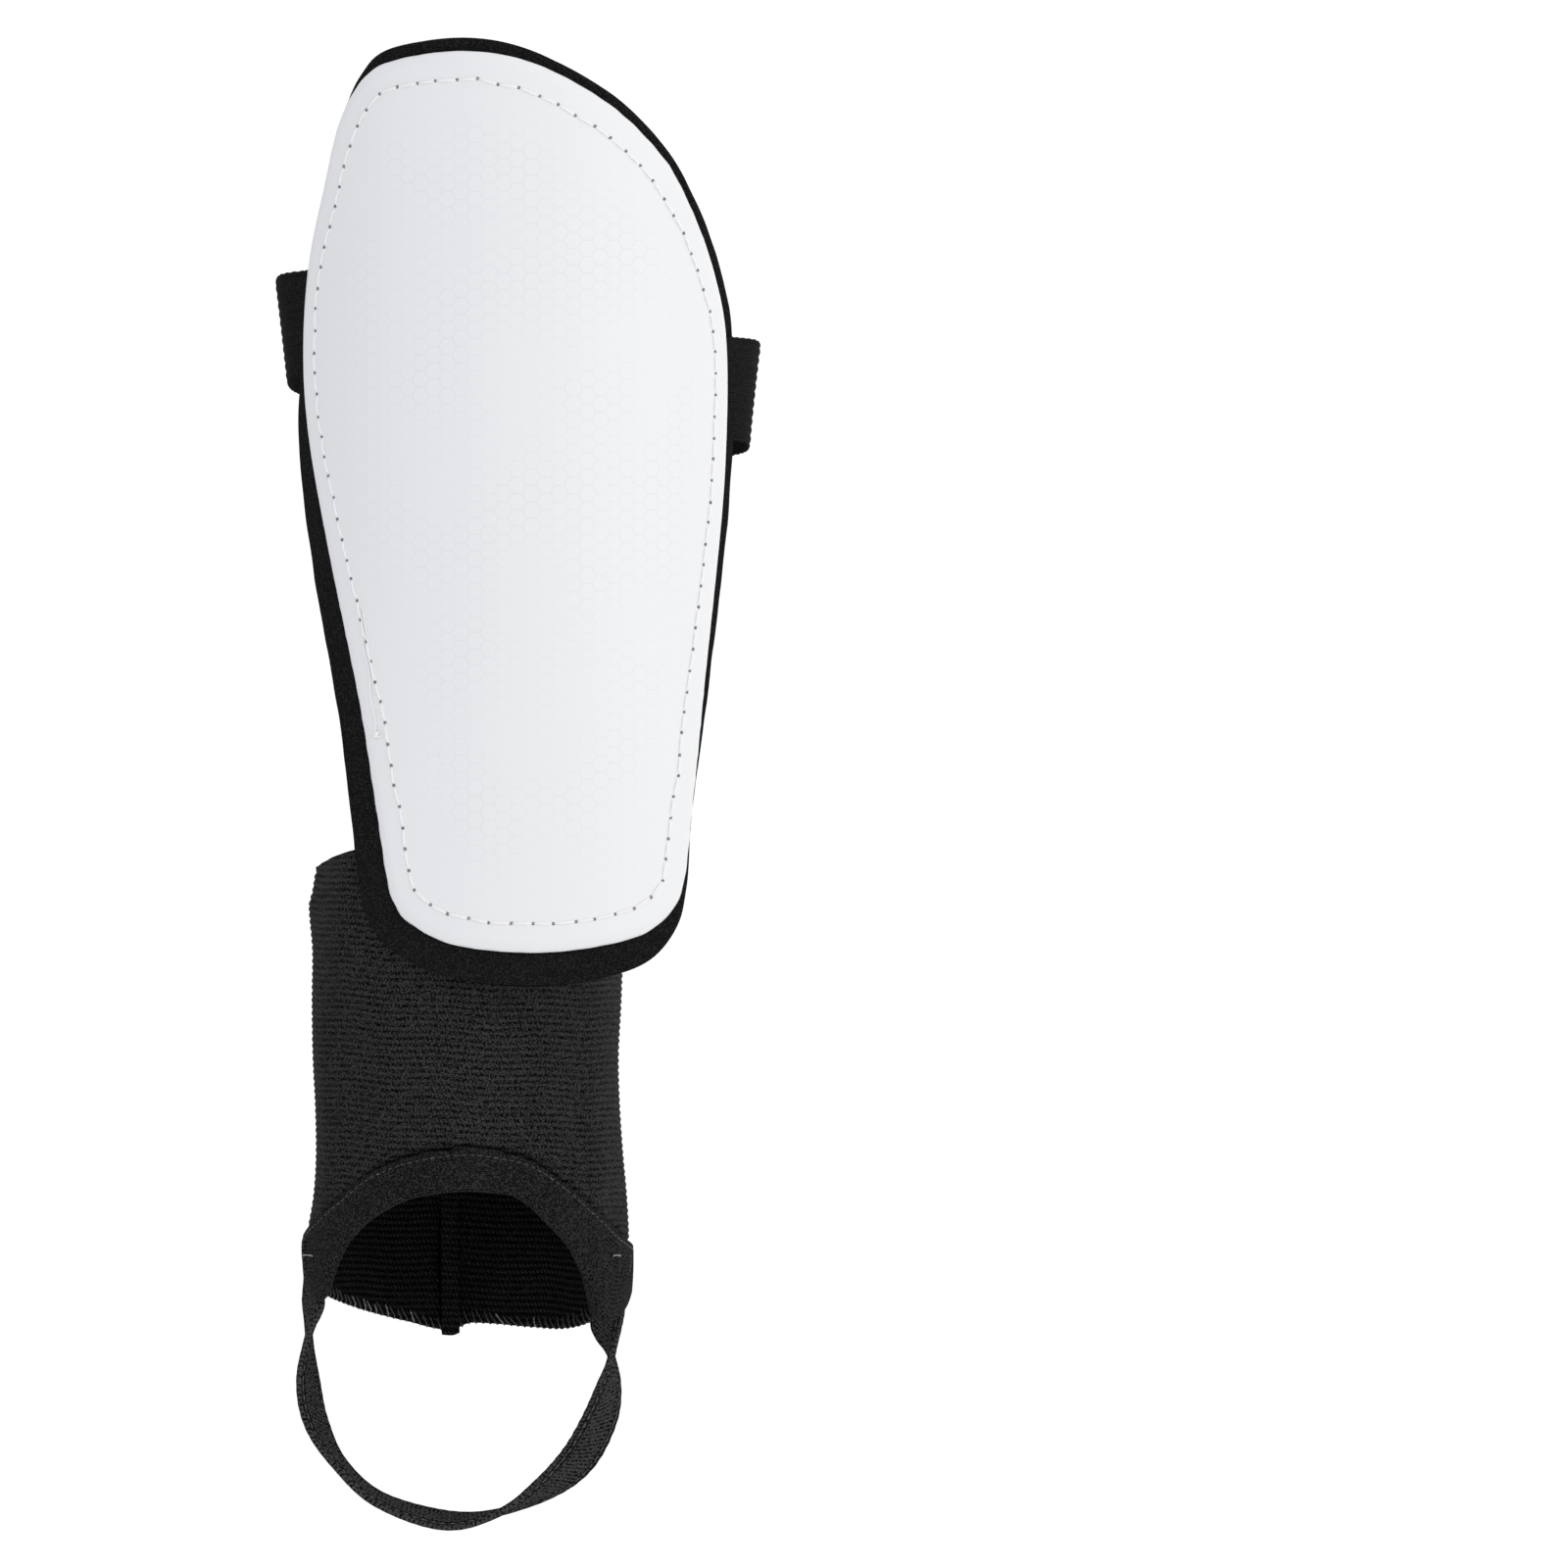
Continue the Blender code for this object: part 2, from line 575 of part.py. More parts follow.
def stirrup_run(steps):
    """Centres and face normals along the stirrup strap."""
    centres = []
    normals = []
    twists = [(twist,) for twist in STIRRUP_TWIST]
    for step in range(steps + 1):
        across, height = curve_point(STIRRUP_ROUTE, step / steps)
        before = curve_point(STIRRUP_ROUTE, (step - 0.5) / steps)
        after = curve_point(STIRRUP_ROUTE, (step + 0.5) / steps)
        tangent = Vector((after[0] - before[0], 0.0, after[1] - before[1])).normalized()
        twist = math.radians(curve_point(twists, step / steps)[0])
        in_plane = Vector((tangent.z, 0.0, -tangent.x))
        normals.append(in_plane * math.sin(twist) + Vector((0.0, -1.0, 0.0)) * math.cos(twist))
        centres.append(Vector((STIRRUP_LEFT_X + across, sleeve_centre_y(), height)))
    return centres, normals


def tape_fold(name, side, material):
    """Folded end of the stirrup tape, tacked on the sleeve's side."""
    pivot = on_sleeve(side * 90.0, TACK_Z, 0.0)
    low = SLEEVE_GAP
    high = SLEEVE_GAP + FOLD_THICKNESS
    profile = []
    for step in range(FOLD_SIDES):
        turn = math.tau * step / FOLD_SIDES
        depth = FOLD_DEPTH / 2 * math.cos(turn)
        profile.append((depth, FOLD_HEIGHT / 2 * math.sin(turn)))
    points = []
    for offset in (low, high):
        for depth, rise in profile:
            points.append(pivot + Vector((side * offset, depth, rise)))
    faces = [tuple(range(FOLD_SIDES)), tuple(range(2 * FOLD_SIDES - 1, FOLD_SIDES - 1, -1))]
    for step in range(FOLD_SIDES):
        ahead = (step + 1) % FOLD_SIDES
        faces.append((step, FOLD_SIDES + step, FOLD_SIDES + ahead, ahead))
    return add_object(name, points, faces, material, pivot)


def build_stirrup(materials):
    """Stirrup strap, its folded ends, bar tacks and edge stitching."""
    centres, normals = stirrup_run(STIRRUP_STEPS)
    pivot = on_sleeve(0.0, TACK_Z, 0.0)
    pivot.y = sleeve_centre_y()
    ribbon("stirrup_strap", centres, normals, STIRRUP_WIDTH, STIRRUP_THICKNESS,
           materials["tape"], pivot)
    lift = STIRRUP_THICKNESS / 2 + THREAD_GAP + THREAD_HEIGHT / 2
    stitched = slice(*EDGE_STITCH_SPAN)
    ribbon("stirrup_edge_stitching", centres[stitched], normals[stitched], THREAD_WIDTH,
           THREAD_HEIGHT, materials["thread_grey"], pivot, lift)
    for side, word in ((-1, "left"), (1, "right")):
        tape_fold("stirrup_fold_" + word, side, materials["tape"])
        face = on_sleeve(side * 90.0, TACK_Z, SLEEVE_GAP + FOLD_THICKNESS + THREAD_GAP)
        half = TACK_LENGTH / 2
        centres_tack = [face + Vector((0.0, depth, -TACK_DROP)) for depth in (-half, 0.0, half)]
        normals_tack = [Vector((side, 0.0, 0.0))] * len(centres_tack)
        ribbon("stirrup_bar_tack_" + word, centres_tack, normals_tack, TACK_WIDTH, TACK_THREAD,
               materials["thread_grey"], face, TACK_THREAD / 2)


def main():
    """Build the whole shin guard."""
    for old in list(bpy.data.objects):
        bpy.data.objects.remove(old)
    materials = {
        "shell": make_material("white_shell", (0.82, 0.83, 0.85), 0.28),
        "backing": make_material("black_face_cloth", (0.012, 0.012, 0.012), 0.9),
        "foam": make_material("black_foam", (0.02, 0.02, 0.02), 0.95),
        "lining": make_material("black_lining", (0.015, 0.015, 0.016), 0.9),
        "elastic": make_material("black_elastic", (0.012, 0.012, 0.012), 0.8),
        "hook": make_material("hook_tape", (0.01, 0.01, 0.01), 0.6),
        "loop": make_material("loop_tape", (0.015, 0.015, 0.015), 1.0),
        "knit": make_material("black_knit", (0.02, 0.02, 0.02), 0.9),
        "tape": make_material("folded_tape", (0.02, 0.02, 0.02), 0.8),
        "thread": make_material("white_thread", (0.85, 0.85, 0.86), 0.5),
        "thread_black": make_material("black_thread", (0.02, 0.02, 0.02), 0.6),
        "thread_grey": make_material("grey_thread", (0.35, 0.35, 0.35), 0.6),
    }
    cloth, foam = build_guard(materials)
    build_strap(materials, cloth, foam)
    build_sleeve(materials)
    build_stirrup(materials)


main()
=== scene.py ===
import math
import random

import bpy
import numpy as np
from mathutils import Matrix, Vector


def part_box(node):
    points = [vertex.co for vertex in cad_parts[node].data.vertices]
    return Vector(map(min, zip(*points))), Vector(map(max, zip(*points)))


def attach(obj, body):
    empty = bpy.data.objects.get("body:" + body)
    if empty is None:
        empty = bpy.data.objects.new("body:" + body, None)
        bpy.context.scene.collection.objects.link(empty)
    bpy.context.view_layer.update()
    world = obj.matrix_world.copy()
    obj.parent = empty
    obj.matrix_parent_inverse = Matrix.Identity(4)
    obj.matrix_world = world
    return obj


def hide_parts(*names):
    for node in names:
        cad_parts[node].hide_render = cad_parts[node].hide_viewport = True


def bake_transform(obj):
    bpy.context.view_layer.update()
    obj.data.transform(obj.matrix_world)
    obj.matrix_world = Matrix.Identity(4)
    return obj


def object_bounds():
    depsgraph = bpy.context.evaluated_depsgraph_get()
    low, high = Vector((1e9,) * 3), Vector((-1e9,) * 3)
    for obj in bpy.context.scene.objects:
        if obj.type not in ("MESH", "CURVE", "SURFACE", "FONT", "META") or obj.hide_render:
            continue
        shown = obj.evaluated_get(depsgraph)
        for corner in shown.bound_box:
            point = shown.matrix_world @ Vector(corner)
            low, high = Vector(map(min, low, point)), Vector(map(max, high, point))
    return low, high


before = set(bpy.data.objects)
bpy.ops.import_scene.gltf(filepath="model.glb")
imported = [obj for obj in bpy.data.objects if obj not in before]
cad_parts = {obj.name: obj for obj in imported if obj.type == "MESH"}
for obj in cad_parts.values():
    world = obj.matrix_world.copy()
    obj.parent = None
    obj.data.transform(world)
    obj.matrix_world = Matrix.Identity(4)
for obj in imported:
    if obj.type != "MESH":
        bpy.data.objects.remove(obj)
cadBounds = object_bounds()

mm = 0.001
random.seed(11)


# all lengths below are millimetres, turned to metres as each mesh is made

def smoothStep(value):
    value = np.clip(value, 0.0, 1.0)
    return value * value * (3 - 2 * value)


def bell(value, middle, width):
    return np.exp(-((value - middle) / width) ** 2)


def smoothRing(points, perSpan):  # closed smooth curve through the points
    b = np.array(points, float)[:, None, :]
    a, c, d = np.roll(b, 1, 0), np.roll(b, -1, 0), np.roll(b, -2, 0)
    t = np.linspace(0, 1, perSpan, endpoint=False)[None, :, None]
    curve = b + 0.5 * t * (c - a + t * (2 * a - 5 * b + 4 * c - d + t * (3 * (b - c) + d - a)))
    return curve.reshape(-1, b.shape[2])


def smoothRun(points, count):  # open smooth curve through the points
    here = np.array(points, float)
    padded = np.vstack([2 * here[0] - here[1], here, 2 * here[-1] - here[-2]])
    place = np.linspace(0, len(here) - 1, count)
    first = np.minimum(place.astype(int), len(here) - 2)
    t = (place - first)[:, None]
    a, b, c, d = (padded[first + step] for step in range(4))
    return b + 0.5 * t * (c - a + t * (2 * a - 5 * b + 4 * c - d + t * (3 * (b - c) + d - a)))


def smoothAngles(points, angles):  # smooth closed profile of heights by angle
    starts = np.array([angle for angle, _ in points] + [points[0][0] + 360.0])
    ring = smoothRing([(height,) for _, height in points], 30)[:, 0]
    places = np.concatenate([np.linspace(a, b, 30, endpoint=False) for a, b in zip(starts, starts[1:])])
    wrapped = (np.asarray(angles, float) - starts[0]) % 360.0 + starts[0]
    return np.interp(wrapped, np.append(places, starts[-1]), np.append(ring, ring[0]))


def alongLine(line, shares):  # points at shares of a line's length
    steps = np.linalg.norm(np.diff(line, axis=0), axis=1)
    run = np.concatenate([[0], np.cumsum(steps)])
    return np.stack([np.interp(np.asarray(shares) * run[-1], run, line[:, k])
                     for k in range(line.shape[1])], 1)


def evenRun(line, count):
    return alongLine(np.asarray(line), np.linspace(0, 1, count))


def evenRing(line, count):
    return alongLine(np.vstack([line, line[:1]]), np.linspace(0, 1, count, endpoint=False))


def unit(vectors):
    return vectors / np.maximum(np.linalg.norm(vectors, axis=-1, keepdims=True), 1e-9)


def distanceTo(points, ring):  # nearest distance from each point to a ring of points
    flat = points.reshape(-1, 2)
    best = np.full(len(flat), 1e9)
    for start in range(0, len(ring), 60):
        part = ring[start:start + 60]
        best = np.minimum(best, np.linalg.norm(flat[:, None] - part[None], axis=2).min(1))
    return best.reshape(points.shape[:-1])


def insideRing(grid, ring):  # which grid points lie inside a closed ring
    x, y = grid[..., 0], grid[..., 1]
    result = np.zeros(x.shape, bool)
    ring = evenRing(ring, 240)
    for (ax, ay), (bx, by) in zip(ring, np.roll(ring, -1, 0)):
        crosses = (ay > y) != (by > y)
        if abs(by - ay) > 1e-9:
            result ^= crosses & (x < (bx - ax) * (y - ay) / (by - ay) + ax)
    return result


def activate(piece):
    bpy.ops.object.select_all(action="DESELECT")
    bpy.context.view_layer.objects.active = piece
    piece.select_set(True)


def faceOut(piece):  # turn the faces of a closed piece outwards
    activate(piece)
    bpy.ops.object.mode_set(mode="EDIT")
    bpy.ops.mesh.select_all(action="SELECT")
    bpy.ops.mesh.normals_make_consistent(inside=False)
    bpy.ops.object.mode_set(mode="OBJECT")


def applyModifier(piece, kind, **values):
    activate(piece)
    modifier = piece.modifiers.new(kind.lower(), kind)
    for key, value in values.items():
        setattr(modifier, key, value)
    bpy.ops.object.modifier_apply(modifier=modifier.name)


def setMap(piece, uv):
    mesh = piece.data
    layer = mesh.uv_layers.get("clothMap") or mesh.uv_layers.new(name="clothMap")
    order = np.zeros(len(mesh.loops), int)
    mesh.loops.foreach_get("vertex_index", order)
    layer.data.foreach_set("uv", (np.asarray(uv)[order] * mm).astype(np.float32).ravel())


def makePiece(name, points, faces, material, uv=None):
    mesh = bpy.data.meshes.new(name)
    mesh.from_pydata((np.asarray(points) * mm).tolist(), [], [tuple(map(int, f)) for f in faces])
    mesh.materials.append(material)
    piece = bpy.data.objects.new(name, mesh)
    bpy.context.scene.collection.objects.link(piece)
    if uv is not None:
        setMap(piece, uv)
    mesh.shade_smooth()
    faceOut(piece)
    return piece


def ringFaces(rings, size, closedRing=True, closedRun=False):
    faces = []
    for ring in range(rings if closedRun else rings - 1):
        after = (ring + 1) % rings
        for step in range(size if closedRing else size - 1):
            ahead = (step + 1) % size
            faces.append((ring * size + step, ring * size + ahead,
                          after * size + ahead, after * size + step))
    return faces


def endFaces(rings, size):  # close both ends of a flat band, strip by strip
    return [(start + k, start + k + 1, start + size - 2 - k, start + size - 1 - k)
            for start in (0, (rings - 1) * size) for k in range(size // 2 - 1)]


def joinPieces(pieces, name):
    bpy.ops.object.select_all(action="DESELECT")
    for piece in pieces:
        piece.select_set(True)
    bpy.context.view_layer.objects.active = pieces[0]
    bpy.ops.object.join()
    pieces[0].name = name
    pieces[0].data.name = name
    return pieces[0]


def copyAlong(model, places, name):  # copies of a small piece: middle, along and up of each
    copies = []
    for middle, along, up in places:
        copy = model.copy()
        copy.data = model.data.copy()
        bpy.context.scene.collection.objects.link(copy)
        length = np.linalg.norm(along)
        ahead = Vector(along / length)
        side = Vector(up).cross(ahead).normalized()
        lift = ahead.cross(side)
        turn = Matrix((ahead * length, side, lift)).transposed().to_4x4()
        copy.data.transform(Matrix.Translation(Vector(middle) * mm) @ turn)
        copies.append(copy)
    bpy.data.objects.remove(model)
    return joinPieces(copies, name)


def between(spots, share):  # one stitch from each spot, with its outward direction, to the next
    return [((a[:3] + b[:3]) / 2, (b[:3] - a[:3]) * share, unit(a[3:])) for a, b in zip(spots, spots[1:])]


def stitchModel(radius, sag, material, sides=8):  # a thread 1 mm long along X, ends dipping
    bpy.ops.mesh.primitive_cylinder_add(vertices=sides, radius=radius * mm, depth=mm,
                                        rotation=(0, math.radians(90), 0))
    model = bpy.context.object
    bpy.ops.object.transform_apply(location=False, rotation=True, scale=False)
    bpy.ops.object.mode_set(mode="EDIT")
    for share in (-0.42, -0.28, 0.0, 0.28, 0.42):
        bpy.ops.mesh.select_all(action="SELECT")
        bpy.ops.mesh.bisect(plane_co=(share * mm, 0, 0), plane_no=(1, 0, 0))
    bpy.ops.object.mode_set(mode="OBJECT")
    for corner in model.data.vertices:
        share = abs(corner.co.x) / (0.5 * mm)
        corner.co.z -= sag * mm * share ** 4
    model.data.materials.append(material)
    model.data.shade_smooth()
    return model


def threadRun(name, lines, radius, material, sides=8):  # round threads through lines of points
    points, faces = [], []
    for line in lines:
        line = np.asarray(line, float)
        tangent = unit(np.gradient(line, axis=0))
        helper = np.array([0.3, 0.1, 1.0]) if abs(tangent[0][2]) < 0.8 else np.array([1.0, 0.2, 0.1])
        side = unit(np.cross(tangent, helper))
        lift = np.cross(side, tangent)
        turn = np.linspace(0, 2 * math.pi, sides, endpoint=False)[None, :, None]
        ring = side[:, None] * np.cos(turn) + lift[:, None] * np.sin(turn)
        offset = sum(len(part) for part in points)
        points.append((line[:, None] + ring * radius).reshape(-1, 3))
        faces += [tuple(index + offset for index in face) for face in ringFaces(len(line), sides)]
        last = offset + (len(line) - 1) * sides
        faces.append(tuple(range(offset, offset + sides)))
        faces.append(tuple(range(last, last + sides)))
    return makePiece(name, np.concatenate(points), faces, material)


def bind(piece, nodes=(), body=None):  # hide the CAD parts a piece stands for and attach it to its body
    if nodes:
        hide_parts(*nodes)
    if body:
        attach(piece, body)


class Board:  # short way to lay out shader nodes
    def __init__(self, name):
        self.material = bpy.data.materials.new(name)
        self.material.use_nodes = True
        self.tree = self.material.node_tree
        self.shader = self.tree.nodes["Principled BSDF"]
        self.place = None

    def add(self, kind, **values):
        node = self.tree.nodes.new(kind)
        for key, value in values.items():
            setattr(node, key, value)
        return node

    def link(self, source, target):
        self.tree.links.new(source, target)

    def sum(self, operation, *inputs):
        node = self.add("ShaderNodeMath", operation=operation)
        for socket, value in zip(node.inputs, inputs):
            if isinstance(value, (int, float)):
                socket.default_value = value
            else:
                self.link(value, socket)
        return node.outputs[0]

    def times(self, a, b):
        return self.sum("MULTIPLY", a, b)

    def plus(self, a, b):
        return self.sum("ADD", a, b)

    def limit(self, value):
        return self.sum("MINIMUM", self.sum("MAXIMUM", value, 0.0), 1.0)

    def clothUv(self, degrees=0.0):  # the piece's own map, turned
        split = self.add("ShaderNodeSeparateXYZ")
        self.link(self.add("ShaderNodeUVMap", uv_map="clothMap").outputs[0], split.inputs[0])
        u, v = split.outputs[0], split.outputs[1]
        if degrees == 0.0:
            return u, v
        cosine, sine = math.cos(math.radians(degrees)), math.sin(math.radians(degrees))
        turnedU = self.plus(self.times(u, cosine), self.times(v, sine))
        turnedV = self.sum("SUBTRACT", self.times(v, cosine), self.times(u, sine))
        return turnedU, turnedV

    def noise(self, scale, detail=3.0):
        node = self.add("ShaderNodeTexNoise")
        node.inputs["Scale"].default_value = scale
        node.inputs["Detail"].default_value = detail
        if self.place is None:
            self.place = self.add("ShaderNodeTexCoord").outputs["Object"]
        self.link(self.place, node.inputs["Vector"])
        return node.outputs["Fac"]

    def glintSpecks(self, scale, power, gain):  # sparse bright dots, painted fibre glints
        return self.limit(self.times(self.sum("POWER", self.noise(scale, 0.0), power), gain))

    def mixColour(self, amount, dark, light):
        node = self.add("ShaderNodeMix", data_type="RGBA")
        self.link(amount, node.inputs["Factor"])
        node.inputs["A"].default_value = (*dark, 1)
        node.inputs["B"].default_value = (*light, 1)
        return node.outputs["Result"]

    def bump(self, height, strength, distance):
        node = self.add("ShaderNodeBump")
        node.inputs["Strength"].default_value = strength
        node.inputs["Distance"].default_value = distance
        self.link(height, node.inputs["Height"])
        return node.outputs["Normal"]

    def finish(self, colour, normal=None, roughness=None, **fixed):
        self.link(colour, self.shader.inputs["Base Color"])
        if normal is not None:
            self.link(normal, self.shader.inputs["Normal"])
        if roughness is not None:
            self.link(roughness, self.shader.inputs["Roughness"])
        for key, value in fixed.items():
            self.shader.inputs[key.replace("_", " ")].default_value = value
        return self.material


def grey(value, tint=0.0):
    return (value * (1 - tint), value, value * (1 + tint))


shellLook = dict(hexWidth=4.0, hexLine=0.40, printDark=(0.80, 0.81, 0.835), plastic=(0.865, 0.87, 0.885),
                 patchScale=42.0, fadeFrom=9.0, fadeTo=22.0)


def shellMaterial():
    board = Board("whiteShellPlastic")
    u, v = board.clothUv()
    pitch = shellLook["hexWidth"] * mm
    column = pitch * math.sqrt(3) / 2
    cells = []
    for shift in (0.0, 0.5):  # two offset lattices of cell centres
        across = board.sum("FRACT", board.plus(board.sum("DIVIDE", u, 2 * column), shift))
        along = board.sum("FRACT", board.plus(board.sum("DIVIDE", v, pitch), shift))
        x = board.sum("ABSOLUTE", board.times(board.sum("SUBTRACT", across, 0.5), 2 * column))
        y = board.sum("ABSOLUTE", board.times(board.sum("SUBTRACT", along, 0.5), pitch))
        slant = board.plus(board.times(x, math.sqrt(3) / 2), board.times(y, 0.5))
        cells.append(board.sum("MAXIMUM", y, slant))
    edge = board.sum("SUBTRACT", board.sum("MINIMUM", *cells), (pitch - shellLook["hexLine"] * mm) / 2)
    line = board.limit(board.sum("DIVIDE", edge, 0.14 * mm))
    fade = board.add("ShaderNodeAttribute", attribute_name="printFade").outputs["Fac"]
    clouds = board.noise(shellLook["patchScale"], 2.0)
    patches = board.sum("SUBTRACT", board.times(clouds, 3.2), 1.05)
    amount = board.times(board.times(line, fade), board.limit(patches))
    colour = board.mixColour(amount, shellLook["plastic"], shellLook["printDark"])
    grain = board.noise(1200.0, 2.0)
    waves = board.noise(55.0, 2.0)
    relief = board.plus(board.times(grain, 0.10), waves)
    rough = board.plus(board.times(grain, 0.08), 0.26)
    return board.finish(colour, board.bump(relief, 0.04, 0.0004), rough, Coat_Weight=0.12,
                        Coat_Roughness=0.25)


def clothMaterial(name, dark, light, loop, row, relief, slant=0.0, turned=0.0, stagger=0.5, dots=0.5,
                  rough=0.88, sheen=0.12, wobble=0.2, fill=0.75, grooves=()):
    board = Board(name)
    u, v = board.clothUv(turned)
    bend = board.sum("SUBTRACT", board.noise(110.0, 2.0), 0.5)
    rows = board.plus(board.sum("DIVIDE", v, row * mm), board.times(bend, wobble))
    place = board.sum("SUBTRACT", board.sum("FRACT", rows), 0.5)
    odd = board.times(board.sum("MODULO", board.sum("FLOOR", rows), 2.0), stagger)
    along = board.plus(board.plus(board.sum("DIVIDE", u, loop * mm), odd),
                      board.times(place, slant))
    along = board.plus(along, board.times(bend, wobble))
    loopShape = board.sum("ABSOLUTE", board.sum("SINE", board.times(along, math.pi)))
    rowShape = board.plus(board.times(board.sum("COSINE", board.times(place, 2 * math.pi)), 0.5), 0.5)
    loopShape = board.plus(board.times(loopShape, fill), 1.0 - fill)
    height = board.times(loopShape, board.sum("POWER", rowShape, 0.8))
    fibre = board.noise(2600.0, 2.0)
    height = board.plus(board.times(height, 0.95), board.times(fibre, 0.12))
    # the colour follows the loop relief: painted highlight on the loop tops and painted shade in the gaps
    # between rows
    glint = board.times(board.sum("POWER", height, 1.8), board.plus(fibre, 0.2))
    glint = board.times(glint, board.plus(board.noise(60.0, 3.0), 0.5))
    # sparse bright dots, painted fibre glints
    glintSpecks = board.times(board.glintSpecks(2300.0, 9.0, 60.0), dots)
    glint = board.limit(board.plus(glint, glintSpecks))
    for groove in grooves:  # dark lines along the band, at a distance from its middle: painted shade in the edge grooves, which the bump also sinks
        across = board.sum("ABSOLUTE", board.clothUv()[1])
        away = board.sum("ABSOLUTE", board.sum("SUBTRACT", across, groove * mm))
        line = board.limit(board.sum("DIVIDE", away, 0.4 * mm))
        height = board.times(height, line)
        glint = board.times(glint, board.plus(board.times(line, 1.1), 0.05))
    colour = board.mixColour(glint, dark, light)
    return board.finish(colour, board.bump(height, relief, 0.0005), Roughness=rough,
                        Sheen_Weight=sheen, Sheen_Roughness=0.4, Specular_IOR_Level=0.03)


def threadMaterial(name, dark, light, rough=0.6):
    board = Board(name)
    twist = board.add("ShaderNodeTexWave", wave_type="BANDS", bands_direction="DIAGONAL")
    twist.inputs["Scale"].default_value = 900.0
    twist.inputs["Distortion"].default_value = 1.5
    board.link(board.add("ShaderNodeTexCoord").outputs["Object"], twist.inputs["Vector"])
    # the colour follows the twist bands: painted shade in the grooves between plies, lighter on the crests
    colour = board.mixColour(twist.outputs["Fac"], dark, light)
    return board.finish(colour, board.bump(twist.outputs["Fac"], 0.3, 0.0001), Roughness=rough,
                        Sheen_Weight=0.1)


def grainMaterial(name, dark, light, scale, rough, relief=0.3, dots=0.0):
    board = Board(name)
    grain = board.noise(scale, 4.0)
    amount = grain
    # painted fibre glints scattered over the grain
    if dots:
        glintSpecks = board.times(board.glintSpecks(2100.0, 9.0, 60.0), dots)
        amount = board.limit(board.plus(grain, glintSpecks))
    colour = board.mixColour(amount, dark, light)
    return board.finish(colour, board.bump(grain, relief, 0.0003), Roughness=rough,
                        Specular_IOR_Level=0.08)


looks = {
    "shell": shellMaterial(),
    "faceCloth": clothMaterial("blackFaceCloth", grey(0.004), grey(0.020), 0.42, 0.42, 0.3, dots=0.9,
                               rough=0.95, sheen=0.0),
    "lining": clothMaterial("blackLiningCloth", grey(0.004), grey(0.03), 0.8, 0.8, 0.4, dots=0.5, sheen=0.0),
    "foam": grainMaterial("blackFoamEdge", grey(0.004), grey(0.016), 1400.0, 0.97, 0.6),
    "elastic": clothMaterial("blackRibbedElastic", grey(0.0015), grey(0.034), 0.62, 0.52, 0.35,
                             rough=0.85, sheen=0.0, dots=0.3),
    "knit": clothMaterial("blackElasticKnit", grey(0.0004), grey(0.046), 1.15, 1.6, 0.8, slant=0.6,
                          dots=1.3, rough=0.8, sheen=0.0, wobble=0.3, fill=0.6),
    "knitInside": clothMaterial("blackKnitInside", grey(0.0006), grey(0.034), 1.12, 1.6, 1.0, slant=-0.9,
                                dots=0.3, rough=0.9, sheen=0.0, wobble=0.5, fill=0.9),
    "tape": clothMaterial("blackFoldedTape", grey(0.001), grey(0.036), 0.55, 0.62, 0.6, slant=0.5,
                          dots=1.2, rough=0.85, sheen=0.0),
    "stirrupWeb": clothMaterial("blackStirrupWeb", grey(0.001), grey(0.07), 0.62, 0.95, 0.8, turned=57.0,
                                fill=0.4, grooves=(4.4, 3.4), dots=0.9, rough=0.8, sheen=0.0),
    "whiteThread": threadMaterial("whiteThread", grey(0.92), grey(0.99)),
    "blackThread": threadMaterial("blackThread", grey(0.008), grey(0.045)),
    "greyThread": threadMaterial("greyThread", grey(0.03), grey(0.18)),
    "paleThread": threadMaterial("paleThread", grey(0.08), grey(0.32)),
    # needle holes: dark, painted shade inside the hole over the black cloth beneath
    "hole": grainMaterial("needleHole", grey(0.02), grey(0.42), 700.0, 0.9),
    "hookTape": grainMaterial("hookTape", grey(0.003), grey(0.05), 1500.0, 0.5, 1.0, dots=0.5),
    "loopTape": grainMaterial("loopTape", grey(0.004), grey(0.04), 800.0, 1.0, 1.0, dots=0.4),
}
print("materials made")


guard = dict(length=220.8, arcWidth=126.4, shellThick=2.2, clothThick=0.6, foamThick=3.6,
             liningThick=0.8, gap=0.3, shinRadius=62.0, ankleRadius=74.0, topSetBack=4.0)
guard["depth"] = (guard["shellThick"] + guard["clothThick"] + guard["foamThick"]
                  + guard["liningThick"] + 3 * guard["gap"])
halfLength = guard["length"] / 2
halfArc = guard["arcWidth"] / 2

# round the shell from its lower left: share of half width, share of half length, backing overhang
outlinePoints = [
    (-0.50, -0.894, 9.0), (-0.43, -0.937, 8.4), (-0.237, -0.985, 8.0), (0.106, -1.0, 8.0),
    (0.445, -0.972, 7.4), (0.61, -0.925, 4.8), (0.697, -0.85, 2.0), (0.75, -0.669, 1.2),
    (0.822, -0.43, 2.9), (0.91, -0.169, 4.7), (0.976, 0.09, 5.8), (0.984, 0.352, 5.8),
    (0.887, 0.526, 4.6), (0.709, 0.70, 3.1), (0.578, 0.787, 2.8), (0.361, 0.887, 2.7),
    (0.06, 0.974, 2.6), (-0.22, 1.0, 3.0), (-0.525, 0.978, 3.3), (-0.668, 0.936, 2.0),
    (-0.79, 0.843, 0.9), (-0.884, 0.696, 0.6), (-0.988, 0.524, 1.0), (-1.026, 0.34, 3.0),
    (-0.99, 0.157, 8.1), (-0.855, -0.104, 9.7), (-0.68, -0.431, 8.6), (-0.59, -0.669, 8.6),
    (-0.535, -0.836, 9.0)]
outlineSpan = 24


